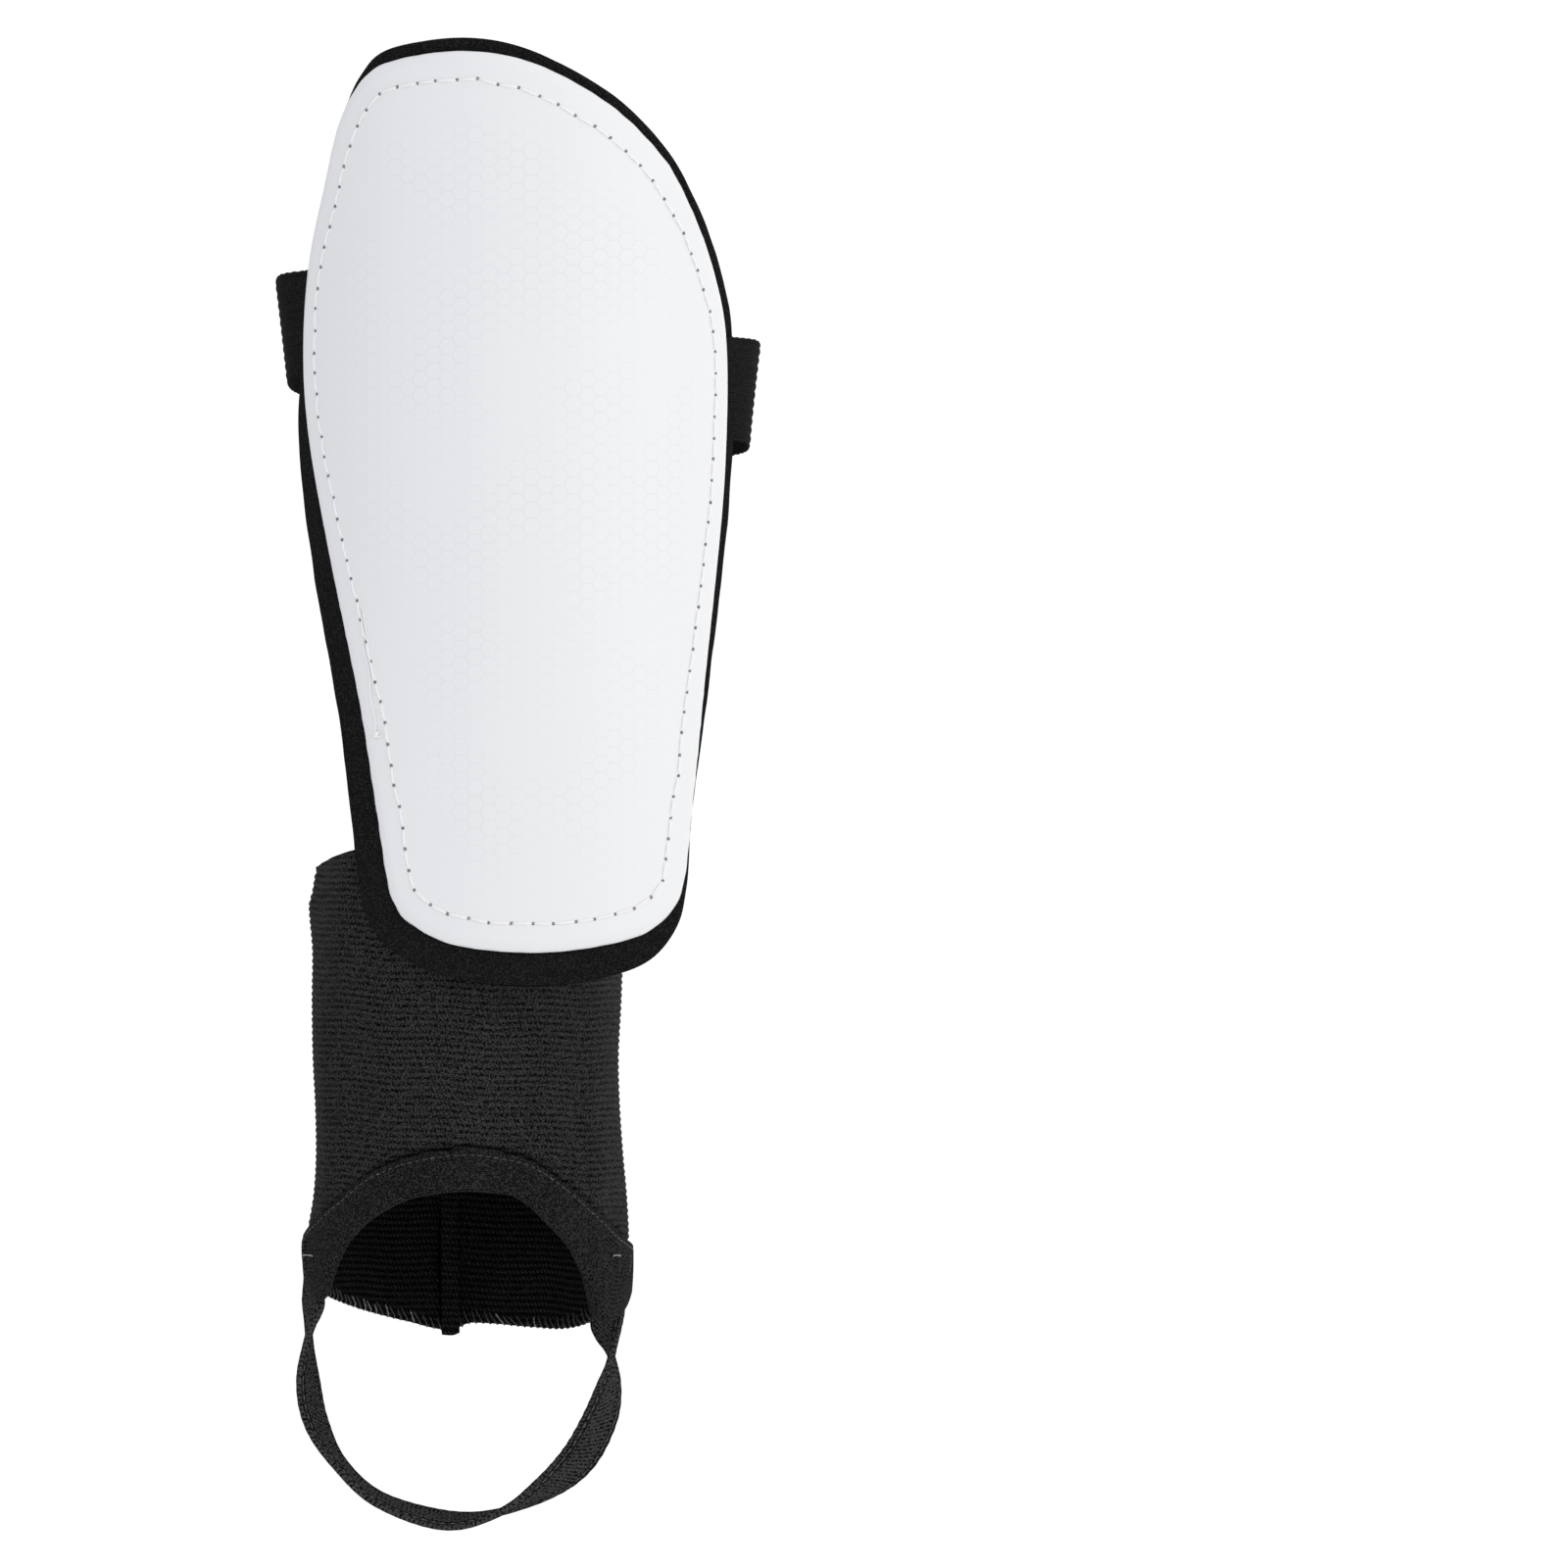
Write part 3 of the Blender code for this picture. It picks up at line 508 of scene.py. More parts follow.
def legRadius(height):
    share = smoothStep((-height - 20.0) / (halfLength - 20.0))
    return guard["shinRadius"] + (guard["ankleRadius"] - guard["shinRadius"]) * share


def shinFront(height):
    return -guard["depth"] + guard["topSetBack"] * np.maximum(height / halfLength, 0.0) ** 2


def onShin(arc, height, depth):  # depth is measured back from the shell's front face
    arc, height, depth = np.broadcast_arrays(np.asarray(arc, float), height, depth)
    radius = legRadius(height)
    reach = radius - depth
    return np.stack([reach * np.sin(arc / radius),
                     shinFront(height) + radius - reach * np.cos(arc / radius), height], -1)


def outlineRing(overhangShare, extra):
    ring = smoothRing(outlinePoints, outlineSpan)
    line = ring[:, :2] * np.array([halfArc, halfLength])
    tangent = unit(np.roll(line, -2, 0) - np.roll(line, 2, 0))
    outwards = np.stack([tangent[:, 1], -tangent[:, 0]], 1)
    return line + outwards * (ring[:, 2:3] * overhangShare + extra)


spine = dict(foot=-62.0, head=48.0, slope=0.03, around=380, innermost=0.05)


def ringGrid(ring, count):  # rings of arc and height, from the edge in to the spine
    edge = evenRing(ring, spine["around"])
    level = np.clip(edge[:, 1], spine["foot"], spine["head"])
    heart = np.stack([edge[:, 0].mean() + spine["slope"] * level, level], 1)
    reach = np.linalg.norm(edge - heart, axis=1)[None, :, None]
    near = np.array([0.0, 0.12, 0.3, 0.6, 1.0, 1.5, 2.1, 2.8, 3.9, 5.4])
    shares = np.linspace(0.0, 1.0, count + 1)[1:]
    depth = np.concatenate([np.broadcast_to(near[:, None, None], (len(near), len(edge), 1)),
                            5.4 + shares[:, None, None] * (reach * (1 - spine["innermost"]) - 5.4)])
    return edge[None] + (heart - edge)[None] * depth / reach


shellRing = outlineRing(0.0, 0.0)
backingRing = outlineRing(1.0, 0.0)
shellRim = dict(bevelWidth=2.5, bevelDrop=0.85, rings=30, edgeRound=0.7)


def joinSeam(shell, rows, row):  # fill the innermost ring and merge the closing column
    activate(shell)
    bpy.ops.object.mode_set(mode="EDIT")
    bpy.ops.mesh.select_mode(type="VERT")
    bpy.ops.mesh.select_all(action="DESELECT")
    bpy.ops.object.mode_set(mode="OBJECT")
    for corner, place in zip(shell.data.vertices, row):
        corner.select = bool(place == rows - 1)
    bpy.ops.object.mode_set(mode="EDIT")
    bpy.ops.mesh.edge_face_add()
    bpy.ops.mesh.select_all(action="SELECT")
    bpy.ops.mesh.remove_doubles(threshold=0.001 * mm)
    bpy.ops.mesh.normals_make_consistent(inside=False)
    bpy.ops.object.mode_set(mode="OBJECT")
    applyModifier(shell, "TRIANGULATE", min_vertices=5, ngon_method="BEAUTY")


def buildShell():
    grid = ringGrid(shellRing, shellRim["rings"])
    grid = np.concatenate([grid, grid[:, :1]], 1)
    rows, columns = grid.shape[:2]
    edge = distanceTo(grid, evenRing(shellRing, 1600))
    depth = shellRim["bevelDrop"] * np.clip(1 - edge / shellRim["bevelWidth"], 0, 1) ** 1.25
    depth += 0.25 * (1 - smoothStep(edge / 9.0))
    curl = np.clip(1 - edge / shellRim["edgeRound"], 0, 1)
    depth += shellRim["edgeRound"] * (1 - np.sqrt(1 - curl ** 2))
    places = onShin(grid[..., 0], grid[..., 1], depth).reshape(-1, 3) * mm
    bpy.ops.mesh.primitive_grid_add(x_subdivisions=columns - 1, y_subdivisions=rows - 1, size=1)
    shell = bpy.context.object
    shell.name = shell.data.name = "hardShell"
    flat = np.zeros(len(shell.data.vertices) * 3)
    shell.data.vertices.foreach_get("co", flat)
    flat = flat.reshape(-1, 3)
    column = np.rint((flat[:, 0] + 0.5) * (columns - 1)).astype(int)
    row = np.rint((flat[:, 1] + 0.5) * (rows - 1)).astype(int)
    order = row * columns + column
    shell.data.vertices.foreach_set("co", places[order].ravel())
    shell.data.materials.append(looks["shell"])
    shell.data.uv_layers.remove(shell.data.uv_layers[0])
    setMap(shell, grid.reshape(-1, 2)[order])
    fade = smoothStep((edge - shellLook["fadeFrom"]) / (shellLook["fadeTo"] - shellLook["fadeFrom"]))
    layer = shell.data.attributes.new("printFade", "FLOAT", "POINT")
    layer.data.foreach_set("value", fade.reshape(-1)[order].astype(np.float32))
    shell.data.update()
    joinSeam(shell, rows, row)
    inwards = sum(face.normal.y * face.area for face in shell.data.polygons) > 0
    applyModifier(shell, "SOLIDIFY", thickness=guard["shellThick"] * mm, offset=1.0 if inwards else -1.0)
    shell.data.shade_smooth()
    faceOut(shell)
    bind(shell, ["hard_shell"], "guard")
    print("shell made")


strap = dict(width=25.0, thick=1.25, patch=0.9, gap=0.3, halfWidth=57.6, centreY=45.0, depth=52.0,
             heights=[43.9, 39.6, 37.0, 31.5, 26.0, 23.2, 24.4, 27.8], hingeAngle=-14.0,
             longEnd=138.0, shortEnd=84.0, insetAngle=36.0, anchor=15.0, insideDepth=2.95,
             slope={-1: 0.11, 1: 0.06}, edgeShare={-1: 0.98, 1: 0.965}, lean=0.115,
             ribs=12, ribHeight=0.42)


def calfLoop(angle, inwards=0.0):
    angle = np.asarray(angle, float)
    turn = np.radians(angle)
    table = smoothRun([(height,) for height in strap["heights"]], 200)[:, 0]
    height = np.interp(angle, np.linspace(strap["hingeAngle"], 180 - strap["hingeAngle"], 200), table)
    normal = unit(np.stack([-np.cos(turn) * strap["depth"], np.sin(turn) * strap["halfWidth"],
                            np.zeros_like(turn)], -1))
    point = np.stack([-strap["halfWidth"] * np.cos(turn),
                      strap["centreY"] + strap["depth"] * np.sin(turn), height], -1)
    return point - normal * np.asarray(inwards)[..., None], normal


def anchorHeight(side, run):  # height of a strap end, run measured in from its hinge
    hinge = strap["heights"][0] if side < 0 else strap["heights"][-1]
    return hinge + strap["slope"][side] * run


def strapPress(arc, height):  # how far a strap end presses the cloth back under the shell
    push = np.zeros_like(height)
    for side in (-1, 1):
        reach = side * arc - halfArc * strap["edgeShare"][side]
        level = anchorHeight(side, 8.0 - reach)
        near = smoothStep((strap["width"] / 2 - 0.3 - np.abs(height - level)) / 1.2)
        push = np.maximum(push, near * smoothStep((reach + strap["anchor"] + 3.0) / 3.0))
    return push * 1.5


backing = dict(puff=0.55, roll=0.6, rollWidth=1.3, quiltInset=7.0, quiltDepth=0.35, liningShow=0.35)


def closedSheet(name, grid, front, back, material):  # closed thick sheet following the shin
    arc, height = grid[..., 0], grid[..., 1]
    points = np.concatenate([onShin(arc, height, front)[::-1], onShin(arc, height, back)])
    rings, size = points.shape[:2]
    faces = ringFaces(rings, size)
    faces += [tuple(range(size)), tuple(range((rings - 1) * size, rings * size))]
    uv = np.concatenate([grid[::-1], grid]).reshape(-1, 2)
    sheet = makePiece(name, points.reshape(-1, 3), faces, material, uv)
    applyModifier(sheet, "TRIANGULATE", min_vertices=5, ngon_method="BEAUTY")
    return sheet


def buildBacking():
    grid = ringGrid(backingRing, 34)
    edge = distanceTo(grid, evenRing(backingRing, 1600))
    beyond = np.where(insideRing(grid, shellRing), 0.0, distanceTo(grid, evenRing(shellRing, 1600)))
    under = distanceTo(grid, evenRing(outlineRing(0.0, -backing["quiltInset"]), 1200))
    frontness = np.cos(grid[..., 0] / legRadius(grid[..., 1])) ** 2
    puff = backing["puff"] * smoothStep(beyond / 2.5) * frontness
    push = strapPress(grid[..., 0], grid[..., 1])
    ripple = 0.12 * np.sin(grid[..., 1] * 0.37) * np.sin(grid[..., 0] * 0.29 + 1.0) * smoothStep(beyond / 2)
    roll = backing["roll"] * (1 - smoothStep(edge / backing["rollWidth"])) ** 1.5
    front = guard["shellThick"] + 0.12 - puff * (push < 0.05) + push + ripple + roll
    cloth = closedSheet("backingFaceCloth", grid, front, front + guard["clothThick"], looks["faceCloth"])
    foamFront = front + guard["clothThick"] + 0.08
    liningBack = guard["depth"] - 0.7 * roll - backing["quiltDepth"] * bell(under, 0.0, 1.6)
    liningFront = liningBack - guard["liningThick"]
    foamBack = np.maximum(liningFront - 0.08, foamFront + 0.6)
    shrunk = ringGrid(outlineRing(1.0, -0.25), 34)
    foam = closedSheet("foamCore", shrunk, foamFront, foamBack, looks["foam"])
    grown = ringGrid(outlineRing(1.0, backing["liningShow"]), 34)
    lining = closedSheet("liningCloth", grown, liningFront, liningBack, looks["lining"])
    for sheet, node, slot, ring in ((cloth, "front_cloth", "face_cloth", backingRing),
                                    (lining, "lining_cloth", "lining", outlineRing(1.0, 0.35))):
        bind(sheet, [node], "guard")
    bind(foam, ["foam_pad"], "guard")
    print("backing made")


rimStitch = dict(inset=7.0, pitch=5.25, thread=0.33, sag=0.6, wander=0.16, holeSize=0.4,
                 tail=[(-41.6, -26.5), (-40.6, -32.0), (-39.6, -38.0), (-38.2, -44.5), (-37.2, -50.5),
                       (-36.4, -56.5)], knot=(-36.2, -57.0))


def shinPlace(arc, height, depth, lift=1.0):  # a place on the guard and the outward direction
    here = onShin(arc, height, depth)
    return here, unit(onShin(arc, height, depth - lift) - here)


def holeModel():  # puckered needle hole, a dark disc: painted shade inside the hole over the black cloth beneath
    bpy.ops.mesh.primitive_cylinder_add(vertices=12, radius=rimStitch["holeSize"] * mm, depth=0.16 * mm)
    hole = bpy.context.object
    bpy.ops.object.mode_set(mode="EDIT")
    bpy.ops.mesh.select_all(action="DESELECT")
    bpy.ops.object.mode_set(mode="OBJECT")
    for face in hole.data.polygons:
        face.select = face.normal.z > 0.9
    bpy.ops.object.mode_set(mode="EDIT")
    bpy.ops.mesh.inset(thickness=0.12 * mm)
    bpy.ops.transform.translate(value=(0, 0, -0.09 * mm))
    bpy.ops.object.mode_set(mode="OBJECT")
    hole.data.materials.append(looks["hole"])
    return hole


def buildRimStitches():
    ring = outlineRing(0.0, -rimStitch["inset"])
    length = np.linalg.norm(np.roll(ring, -1, 0) - ring, axis=1).sum()
    path = evenRing(ring, round(length / rimStitch["pitch"]))
    path = path + np.array([[random.gauss(0, rimStitch["wander"]) for _ in range(2)] for _ in path])
    top, under, holes = [], [], []
    for here, there in zip(path, np.roll(path, -1, 0)):
        middle = (here + there) / 2
        start, _ = shinPlace(here[0], here[1], 0.0)
        end, _ = shinPlace(there[0], there[1], 0.0)
        centre, up = shinPlace(middle[0], middle[1], -0.24)
        top.append((centre, (end - start) * 0.93, up))
        centre, up = shinPlace(middle[0], middle[1], guard["depth"] + 0.02)
        under.append((centre, (end - start) * 0.93, -up))
        spot, up = shinPlace(here[0], here[1], -0.01)
        slew = unit(end - start) + np.array([random.uniform(-0.5, 0.5), 0, random.uniform(-0.5, 0.5)])
        holes.append((spot, unit(slew) * random.uniform(0.7, 1.5), up))
    needle = copyAlong(stitchModel(rimStitch["thread"], rimStitch["sag"], looks["whiteThread"]), top,
                       "rimStitches")
    bobbin = copyAlong(stitchModel(rimStitch["thread"], rimStitch["sag"], looks["blackThread"]), under,
                       "liningStitches")
    marks = copyAlong(holeModel(), holes, "needleHoles")
    bind(needle, ["rim_needle_thread"], "guard")
    bind(bobbin, ["rim_bobbin_thread"], "guard")
    bind(marks, (), "guard")
    print("rim stitches made:", len(path))


def buildBackTack():
    route = smoothRun(rimStitch["tail"], 60)
    wave = 0.3 * np.sin(np.linspace(0, 5 * math.pi, 60))
    lines = [onShin(route[:, 0] + wave, route[:, 1], -0.25)]
    lines.append(onShin(route[:34, 0] + 1.0 - 0.4 * wave[:34], route[:34, 1] + 0.6, -0.2))
    knotArc, knotHeight = rimStitch["knot"]
    for turn in range(4):
        angle = np.linspace(0, 2 * math.pi, 18)
        ringArc = knotArc + 0.8 * np.cos(angle + turn) * (0.7 + 0.1 * turn)
        ringHeight = knotHeight + 0.65 * np.sin(angle + turn * 1.7)
        lines.append(onShin(ringArc, ringHeight, -0.35 - 0.12 * np.sin(angle * 2 + turn)))
    end = np.linspace(0, 1, 12)
    lines.append(onShin(knotArc + 1.6 * end, knotHeight - 1.4 * end + 0.8 * end ** 2, -0.35 - 0.3 * end))
    tack = threadRun("backTackThread", lines, 0.19, looks["whiteThread"])
    bind(tack, ["rim_back_tack"], "guard")


def bandSection(width, thick, ribs, ribHeight, perRib=4):  # across and lift of a ribbed band
    across = np.linspace(-0.5, 0.5, ribs * perRib + 1)
    wave = ribHeight * (np.abs(np.cos(across * ribs * math.pi)) - 1.0)
    taper = np.clip((0.5 - np.abs(across)) * width / 0.5, 0.0, 0.55) + 0.45
    upper = np.stack([across * width, (thick / 2 + wave) * taper], 1)
    lower = np.stack([across[::-1] * width, -(thick / 2 + wave[::-1]) * taper[::-1]], 1)
    return np.concatenate([upper, lower])


def bandFrame(centres, normals):
    tangent = unit(np.gradient(centres, axis=0))
    normals = unit(normals - tangent * (normals * tangent).sum(1, keepdims=True))
    return tangent, normals, np.cross(tangent, normals)


def bandPiece(name, centres, normals, section, material, widths=1.0, lean=0.0, wavy=0.0):
    centres = np.asarray(centres)
    tangent, normals, side = bandFrame(centres, np.asarray(normals))
    count, size = len(centres), len(section)
    widths = np.broadcast_to(widths, count)[:, None, None]
    lean = np.broadcast_to(lean, count)[:, None, None]
    across = section[None, :, :1] * widths
    lift = section[None, :, 1:] + across * lean
    run = np.concatenate([[0], np.cumsum(np.linalg.norm(np.diff(centres, axis=0), axis=1))])
    ruffle = wavy * np.sin(run * 2.1)[:, None, None] * np.abs(section[None, :, :1]) ** 4
    ruffle = ruffle / max(np.abs(section[:, 0]).max() ** 4, 1e-9)
    points = centres[:, None] + side[:, None] * (across + ruffle) + normals[:, None] * lift
    faces = ringFaces(count, size)
    faces += endFaces(count, size)
    uv = np.stack([np.repeat(run, size), np.tile(section[:, 0], count)], 1)
    return makePiece(name, points.reshape(-1, 3), faces, material, uv), float(run[-1])


def strapRoute(side, angles, inset):
    edge = halfArc * strap["edgeShare"][side]
    reach = np.array([-strap["anchor"], -7.5, 0.0, 4.0])
    run = 8.0 - reach
    arcs, levels = side * (edge + reach), anchorHeight(side, run)
    centre = onShin(arcs, levels, strap["insideDepth"])
    normal = unit(onShin(arcs, levels, 0.0) - centre)
    loop, loopNormal = calfLoop(angles, inset(angles))
    controls = np.hstack([np.vstack([centre, loop]), np.vstack([normal, loopNormal])])
    route = evenRun(smoothRun(controls, 500), 170)
    return route[:, :3], unit(route[:, 3:])


def shortInset(angle):
    stack = strap["thick"] + 2 * strap["patch"] + 3 * strap["gap"]
    return stack * smoothStep((180.0 - np.asarray(angle, float)) / strap["insetAngle"])


def noInset(angle):
    return np.zeros_like(np.asarray(angle, float))


def stitchFrame(centres, normals, halfAcross, pitch, lift):  # stitches round a patch
    tangent, normals, side = bandFrame(np.asarray(centres), np.asarray(normals))
    middle = centres + normals * lift
    corner = [middle + side * halfAcross, middle - side * halfAcross]
    ring = np.vstack([corner[0], corner[1][::-1]])
    ups = np.vstack([normals, normals[::-1]])
    line = np.hstack([ring, ups])
    closed = np.vstack([line, line[:1]])
    steps = np.linalg.norm(np.diff(closed[:, :3], axis=0), axis=1)
    count = int(steps.sum() / pitch)
    spots = alongLine(closed, (np.arange(count + 1)) / count)
    return between(spots, 0.72)


def buildCalfStrap():
    section = bandSection(strap["width"], strap["thick"], strap["ribs"], strap["ribHeight"])
    longAngles = np.linspace(strap["hingeAngle"] + 3, strap["longEnd"], 14)
    shortAngles = np.linspace(180 - strap["hingeAngle"] - 3, strap["shortEnd"], 11)
    plans = (("calfStrapLong", -1, longAngles, noInset, "long_strap",
              ("calf_strap_anchor_left", "calf_strap_long")),
             ("calfStrapShort", 1, shortAngles, shortInset, "short_strap",
              ("calf_strap_anchor_right", "calf_strap_short")))
    for name, side, angles, inset, body, replaced in plans:
        centres, normals = strapRoute(side, angles, inset)
        share = np.linspace(0, 1, len(centres))
        free = smoothStep((share - 0.08) / 0.06)
        lean = -side * strap["lean"] * free * (1 - smoothStep((share - 0.25) / 0.25))
        piece, length = bandPiece(name, centres, normals, section, looks["elastic"], 1.0, lean, 0.12)
        bind(piece, replaced)
        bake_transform(piece)
        print(name, "length", round(length, 1))


patch = dict(length=42.0, margin=1.5, endAngle=2.0, stitchPitch=2.6, stitchInset=2.6)


def buildPatches():
    middle = strap["thick"] / 2 + strap["gap"] + strap["patch"] / 2
    patchArc = math.degrees(patch["length"] / (strap["halfWidth"] + strap["depth"]) * 2)
    hookEnd = strap["longEnd"] - patch["endAngle"]
    loopStart = strap["shortEnd"] + patch["endAngle"]
    stack = float(shortInset(strap["shortEnd"]))
    width = strap["width"] - 2 * patch["margin"]
    section = bandSection(width, strap["patch"], 11, 0.05)
    across = width / 2 - patch["stitchInset"] + 1.0
    plans = (("hookPatch", "hookTape", hookEnd - patchArc, 0.0, -1, "long_strap", "hook_tape", "hook_patch"),
             ("loopPatch", "loopTape", loopStart, stack, 1, "short_strap", "loop_tape", "loop_patch"))
    for name, look, first, inset, face, body, slot, node in plans:
        centres, normals = calfLoop(np.linspace(first, hookEnd, 40), np.full(40, inset))
        piece, length = bandPiece(name, centres + normals * face * middle, normals, section, looks[look])
        run = slice(2, -2)
        outside = -face * (strap["thick"] / 2 + 0.05)
        places = stitchFrame(centres[run], normals[run], across, patch["stitchPitch"], outside)
        places = [(spot, along, up * -face) for spot, along, up in places]
        stitches = copyAlong(stitchModel(0.2, 0.25, looks["blackThread"]), places, name + "Stitches")
        bind(piece, [node], body)
        bind(stitches, [node + "_stitching"], body)
    print("strap patches made")


sleeve = dict(thick=1.4, hemDepth=8.8, hemThick=0.2, rowPitch=1.6, rowHeight=0.42, halfDepth=42.4,
              top=-84.6, cornerDrop=5.4, rows=(300, 150), mapRadius=40.5)
# height, left side and right side of the sleeve as seen from the front
sleeveSides = [(-80.0, -47.6, 24.6), (-88.0, -49.3, 25.2), (-95.5, -50.5, 25.4), (-99.5, -51.5, 25.6),
               (-110.0, -50.7, 25.8), (-122.0, -50.8, 25.5), (-136.0, -50.6, 24.8), (-148.0, -50.0, 25.1),
               (-160.0, -49.8, 25.9), (-170.0, -50.4, 26.8), (-180.0, -51.9, 27.3), (-190.0, -51.8, 27.2),
               (-205.0, -50.0, 26.5)]
# lower edge and the top of its tape: angle round from the front, height
openingEdge = [(-180, -201.8), (-172, -203.6), (-156, -201.4), (-135, -198.3), (-118, -195.4),
               (-100, -192.6), (-84, -191.2), (-71, -194.8), (-64, -191.9), (-58, -187.2),
               (-50, -181.0), (-40, -175.6), (-30, -171.9), (-20, -169.4), (-2, -168.0),
               (16, -169.0), (24, -172.2), (32, -176.8), (40, -181.6), (48, -188.6), (54, -197.4),
               (61, -200.4), (74, -198.0), (90, -194.0), (110, -197.2), (129, -201.2),
               (142, -203.0), (156, -202.8)]
tapeTop = [(-180, -184.0), (-110, -181.5), (-84, -179.5), (-66, -175.2), (-52, -170.0), (-39, -164.6),
           (-24, -160.9), (-3, -158.7), (10, -159.4), (23, -161.5), (36, -166.8), (48, -172.6),
           (66, -179.4), (88, -182.5), (115, -184.0)]
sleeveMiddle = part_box("ankle_sleeve")
sleeve["centreY"] = (sleeveMiddle[0].y + sleeveMiddle[1].y) / 2 / mm


def liningBack(x, height):  # how far back the lining's face stands at a place
    reach = legRadius(height) - guard["depth"]
    inside = np.clip(np.abs(x) / reach, 0.0, 0.95)
    return shinFront(height) + legRadius(height) - reach * np.sqrt(1 - inside ** 2)


def onSleeve(angle, height, offset):  # offset outwards from the knit's outer face
    angle, height, offset = np.broadcast_arrays(np.asarray(angle, float), height, offset)
    turn = np.radians(angle)
    levels, left, right = (np.array(column)[::-1] for column in zip(*sleeveSides))
    smooth = smoothRun(np.stack([levels, left, right], 1), 240)
    left, right = (np.interp(height, smooth[:, 0], smooth[:, k]) for k in (1, 2))
    middle, wide = (left + right) / 2, (right - left) / 2 + offset
    down = smoothStep((sleeve["top"] - 6 - height) / 30.0)
    soft = 0.45 * np.sin(3 * turn + height * 0.035) + 0.35 * np.sin(5 * turn - height * 0.05 + 1.0)
    crease = -2.6 * bell(angle % 360.0, 163.0 - (height + 168.0) * 0.25, 7.0)
    crease = crease * smoothStep((-150 - height) / 25.0)
    deep = sleeve["halfDepth"] + offset + (soft + crease) * down
    x = middle + wide * np.sin(turn)
    y = sleeve["centreY"] - deep * np.cos(turn)
    front = smoothStep((np.cos(turn) - 0.25) / 0.45) * smoothStep((height + 128.0) / 26.0)
    seat = liningBack(x, height) + 0.25 + sleeve["hemThick"] - offset
    y = y + (np.minimum(seat, y) - y) * front
    return np.stack([x, y, height], -1)


def sleeveTop(angle):
    return sleeve["top"] - sleeve["cornerDrop"] * np.sin(np.radians(angle)) ** 6


def sleeveArc(angle):
    return np.radians(angle) * sleeve["mapRadius"]


def sleeveWall(name, angles, rows, low, high, outer, inner, material, whole, roll=0.45):
    angles = np.asarray(angles, float)
    lowZ, highZ = low(angles), high(angles)
    shares = np.concatenate([np.linspace(0, 1, rows[0]), np.linspace(1, 0, rows[1])])
    outside = np.arange(len(shares)) < rows[0]
    z = lowZ[:, None] + (highZ - lowZ)[:, None] * shares[None]
    tilt = 1.8 * np.sin(np.radians(angles) + 0.5)[:, None]
    row = (z + tilt + 0.25 * np.sin(np.radians(angles) * 9)[:, None]) / sleeve["rowPitch"]
    bump = sleeve["rowHeight"] * (np.abs(np.sin(row * math.pi)) ** 0.8 - 1.0)
    pinch = smoothAngles(tapeTop, angles)[:, None] + 0.7
    bump = bump - 0.9 * bell(z, pinch, 0.8) * (np.abs(angles) < 100)[:, None]
    edge = np.minimum(shares, 1 - shares)[None] * (highZ - lowZ)[:, None]
    rounding = roll * (1 - smoothStep(edge / (2 * roll)))
    offset = np.where(outside[None], outer + bump - rounding, inner - 0.7 * bump + rounding)
    points = onSleeve(angles[:, None], z, offset)
    uv = np.stack([np.broadcast_to(sleeveArc(angles)[:, None], z.shape), row * sleeve["rowPitch"]], -1)
    size = len(shares)
    faces = ringFaces(len(angles), size, True, whole)
    if not whole:
        last = (len(angles) - 1) * size
        faces += [tuple(range(size)), tuple(range(last, last + size))]
    piece = makePiece(name, points.reshape(-1, 3), faces, material, uv.reshape(-1, 2))
    if whole:  # the map runs on across the closing column
        wrapMap(piece, len(angles) * size, size)
    return piece


def wrapMap(piece, total, size):
    mesh = piece.data
    layer = mesh.uv_layers["clothMap"]
    around = 2 * math.pi * sleeve["mapRadius"] * mm
    for face in mesh.polygons:
        columns = {mesh.loops[k].vertex_index // size for k in face.loop_indices}
        if 0 in columns and max(columns) > 1:
            for k in face.loop_indices:
                if mesh.loops[k].vertex_index < size:
                    layer.data[k].uv[0] += around


def openingLow(angle):
    return smoothAngles(openingEdge, angle)


def sleeveBlend(piece):
    start = onSleeve(0.0, sleeve["top"], 0.0) * mm
    end = (onSleeve(0.0, sleeve["top"], 0.0) + np.array([0.0, 26.0, -26.0])) * mm
    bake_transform(piece)


def buildSleeve():
    around = np.linspace(-180, 180, 176, endpoint=False)
    tube = sleeveWall("ankleSleeve", around, sleeve["rows"], openingLow, sleeveTop, 0.0, -sleeve["thick"],
                      looks["knit"], True)
    tube.data.materials.append(looks["knitInside"])
    outRows, inRows = sleeve["rows"]
    for face in tube.data.polygons:
        inside = [corner % (outRows + inRows) >= outRows for corner in face.vertices]
        face.material_index = 1 if all(inside) else 0
    hem = sleeveWall("topHem", around, (26, 4), lambda a: sleeveTop(a) - sleeve["hemDepth"],
                     lambda a: sleeveTop(a) + 0.4, sleeve["hemThick"], -0.9, looks["knit"], True, 0.9)
    seam = sleeveWall("backSeam", np.linspace(184.5, 191.5, 11), (90, 3), lambda a: openingLow(a) - 1.3,
                      lambda a: sleeveTop(a) - 1.0, -sleeve["thick"] - 0.1, -sleeve["thick"] - 1.8,
                      looks["knitInside"], False)
    girth = onSleeve(np.arange(361.0), -140.0, 0.0)
    around = float(np.linalg.norm(np.diff(girth, axis=0), axis=1).sum())
    for piece, node in ((tube, "ankle_sleeve"), (hem, "sleeve_top_hem"), (seam, "sleeve_back_seam")):
        bind(piece, [node])
    for piece in (tube, hem):
        sleeveBlend(piece)
    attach(seam, "sleeve")
    print("sleeve made")


tape = dict(angles=(-104.0, 102.0), thick=0.85, insideDrop=1.6, outRows=26, inRows=14)


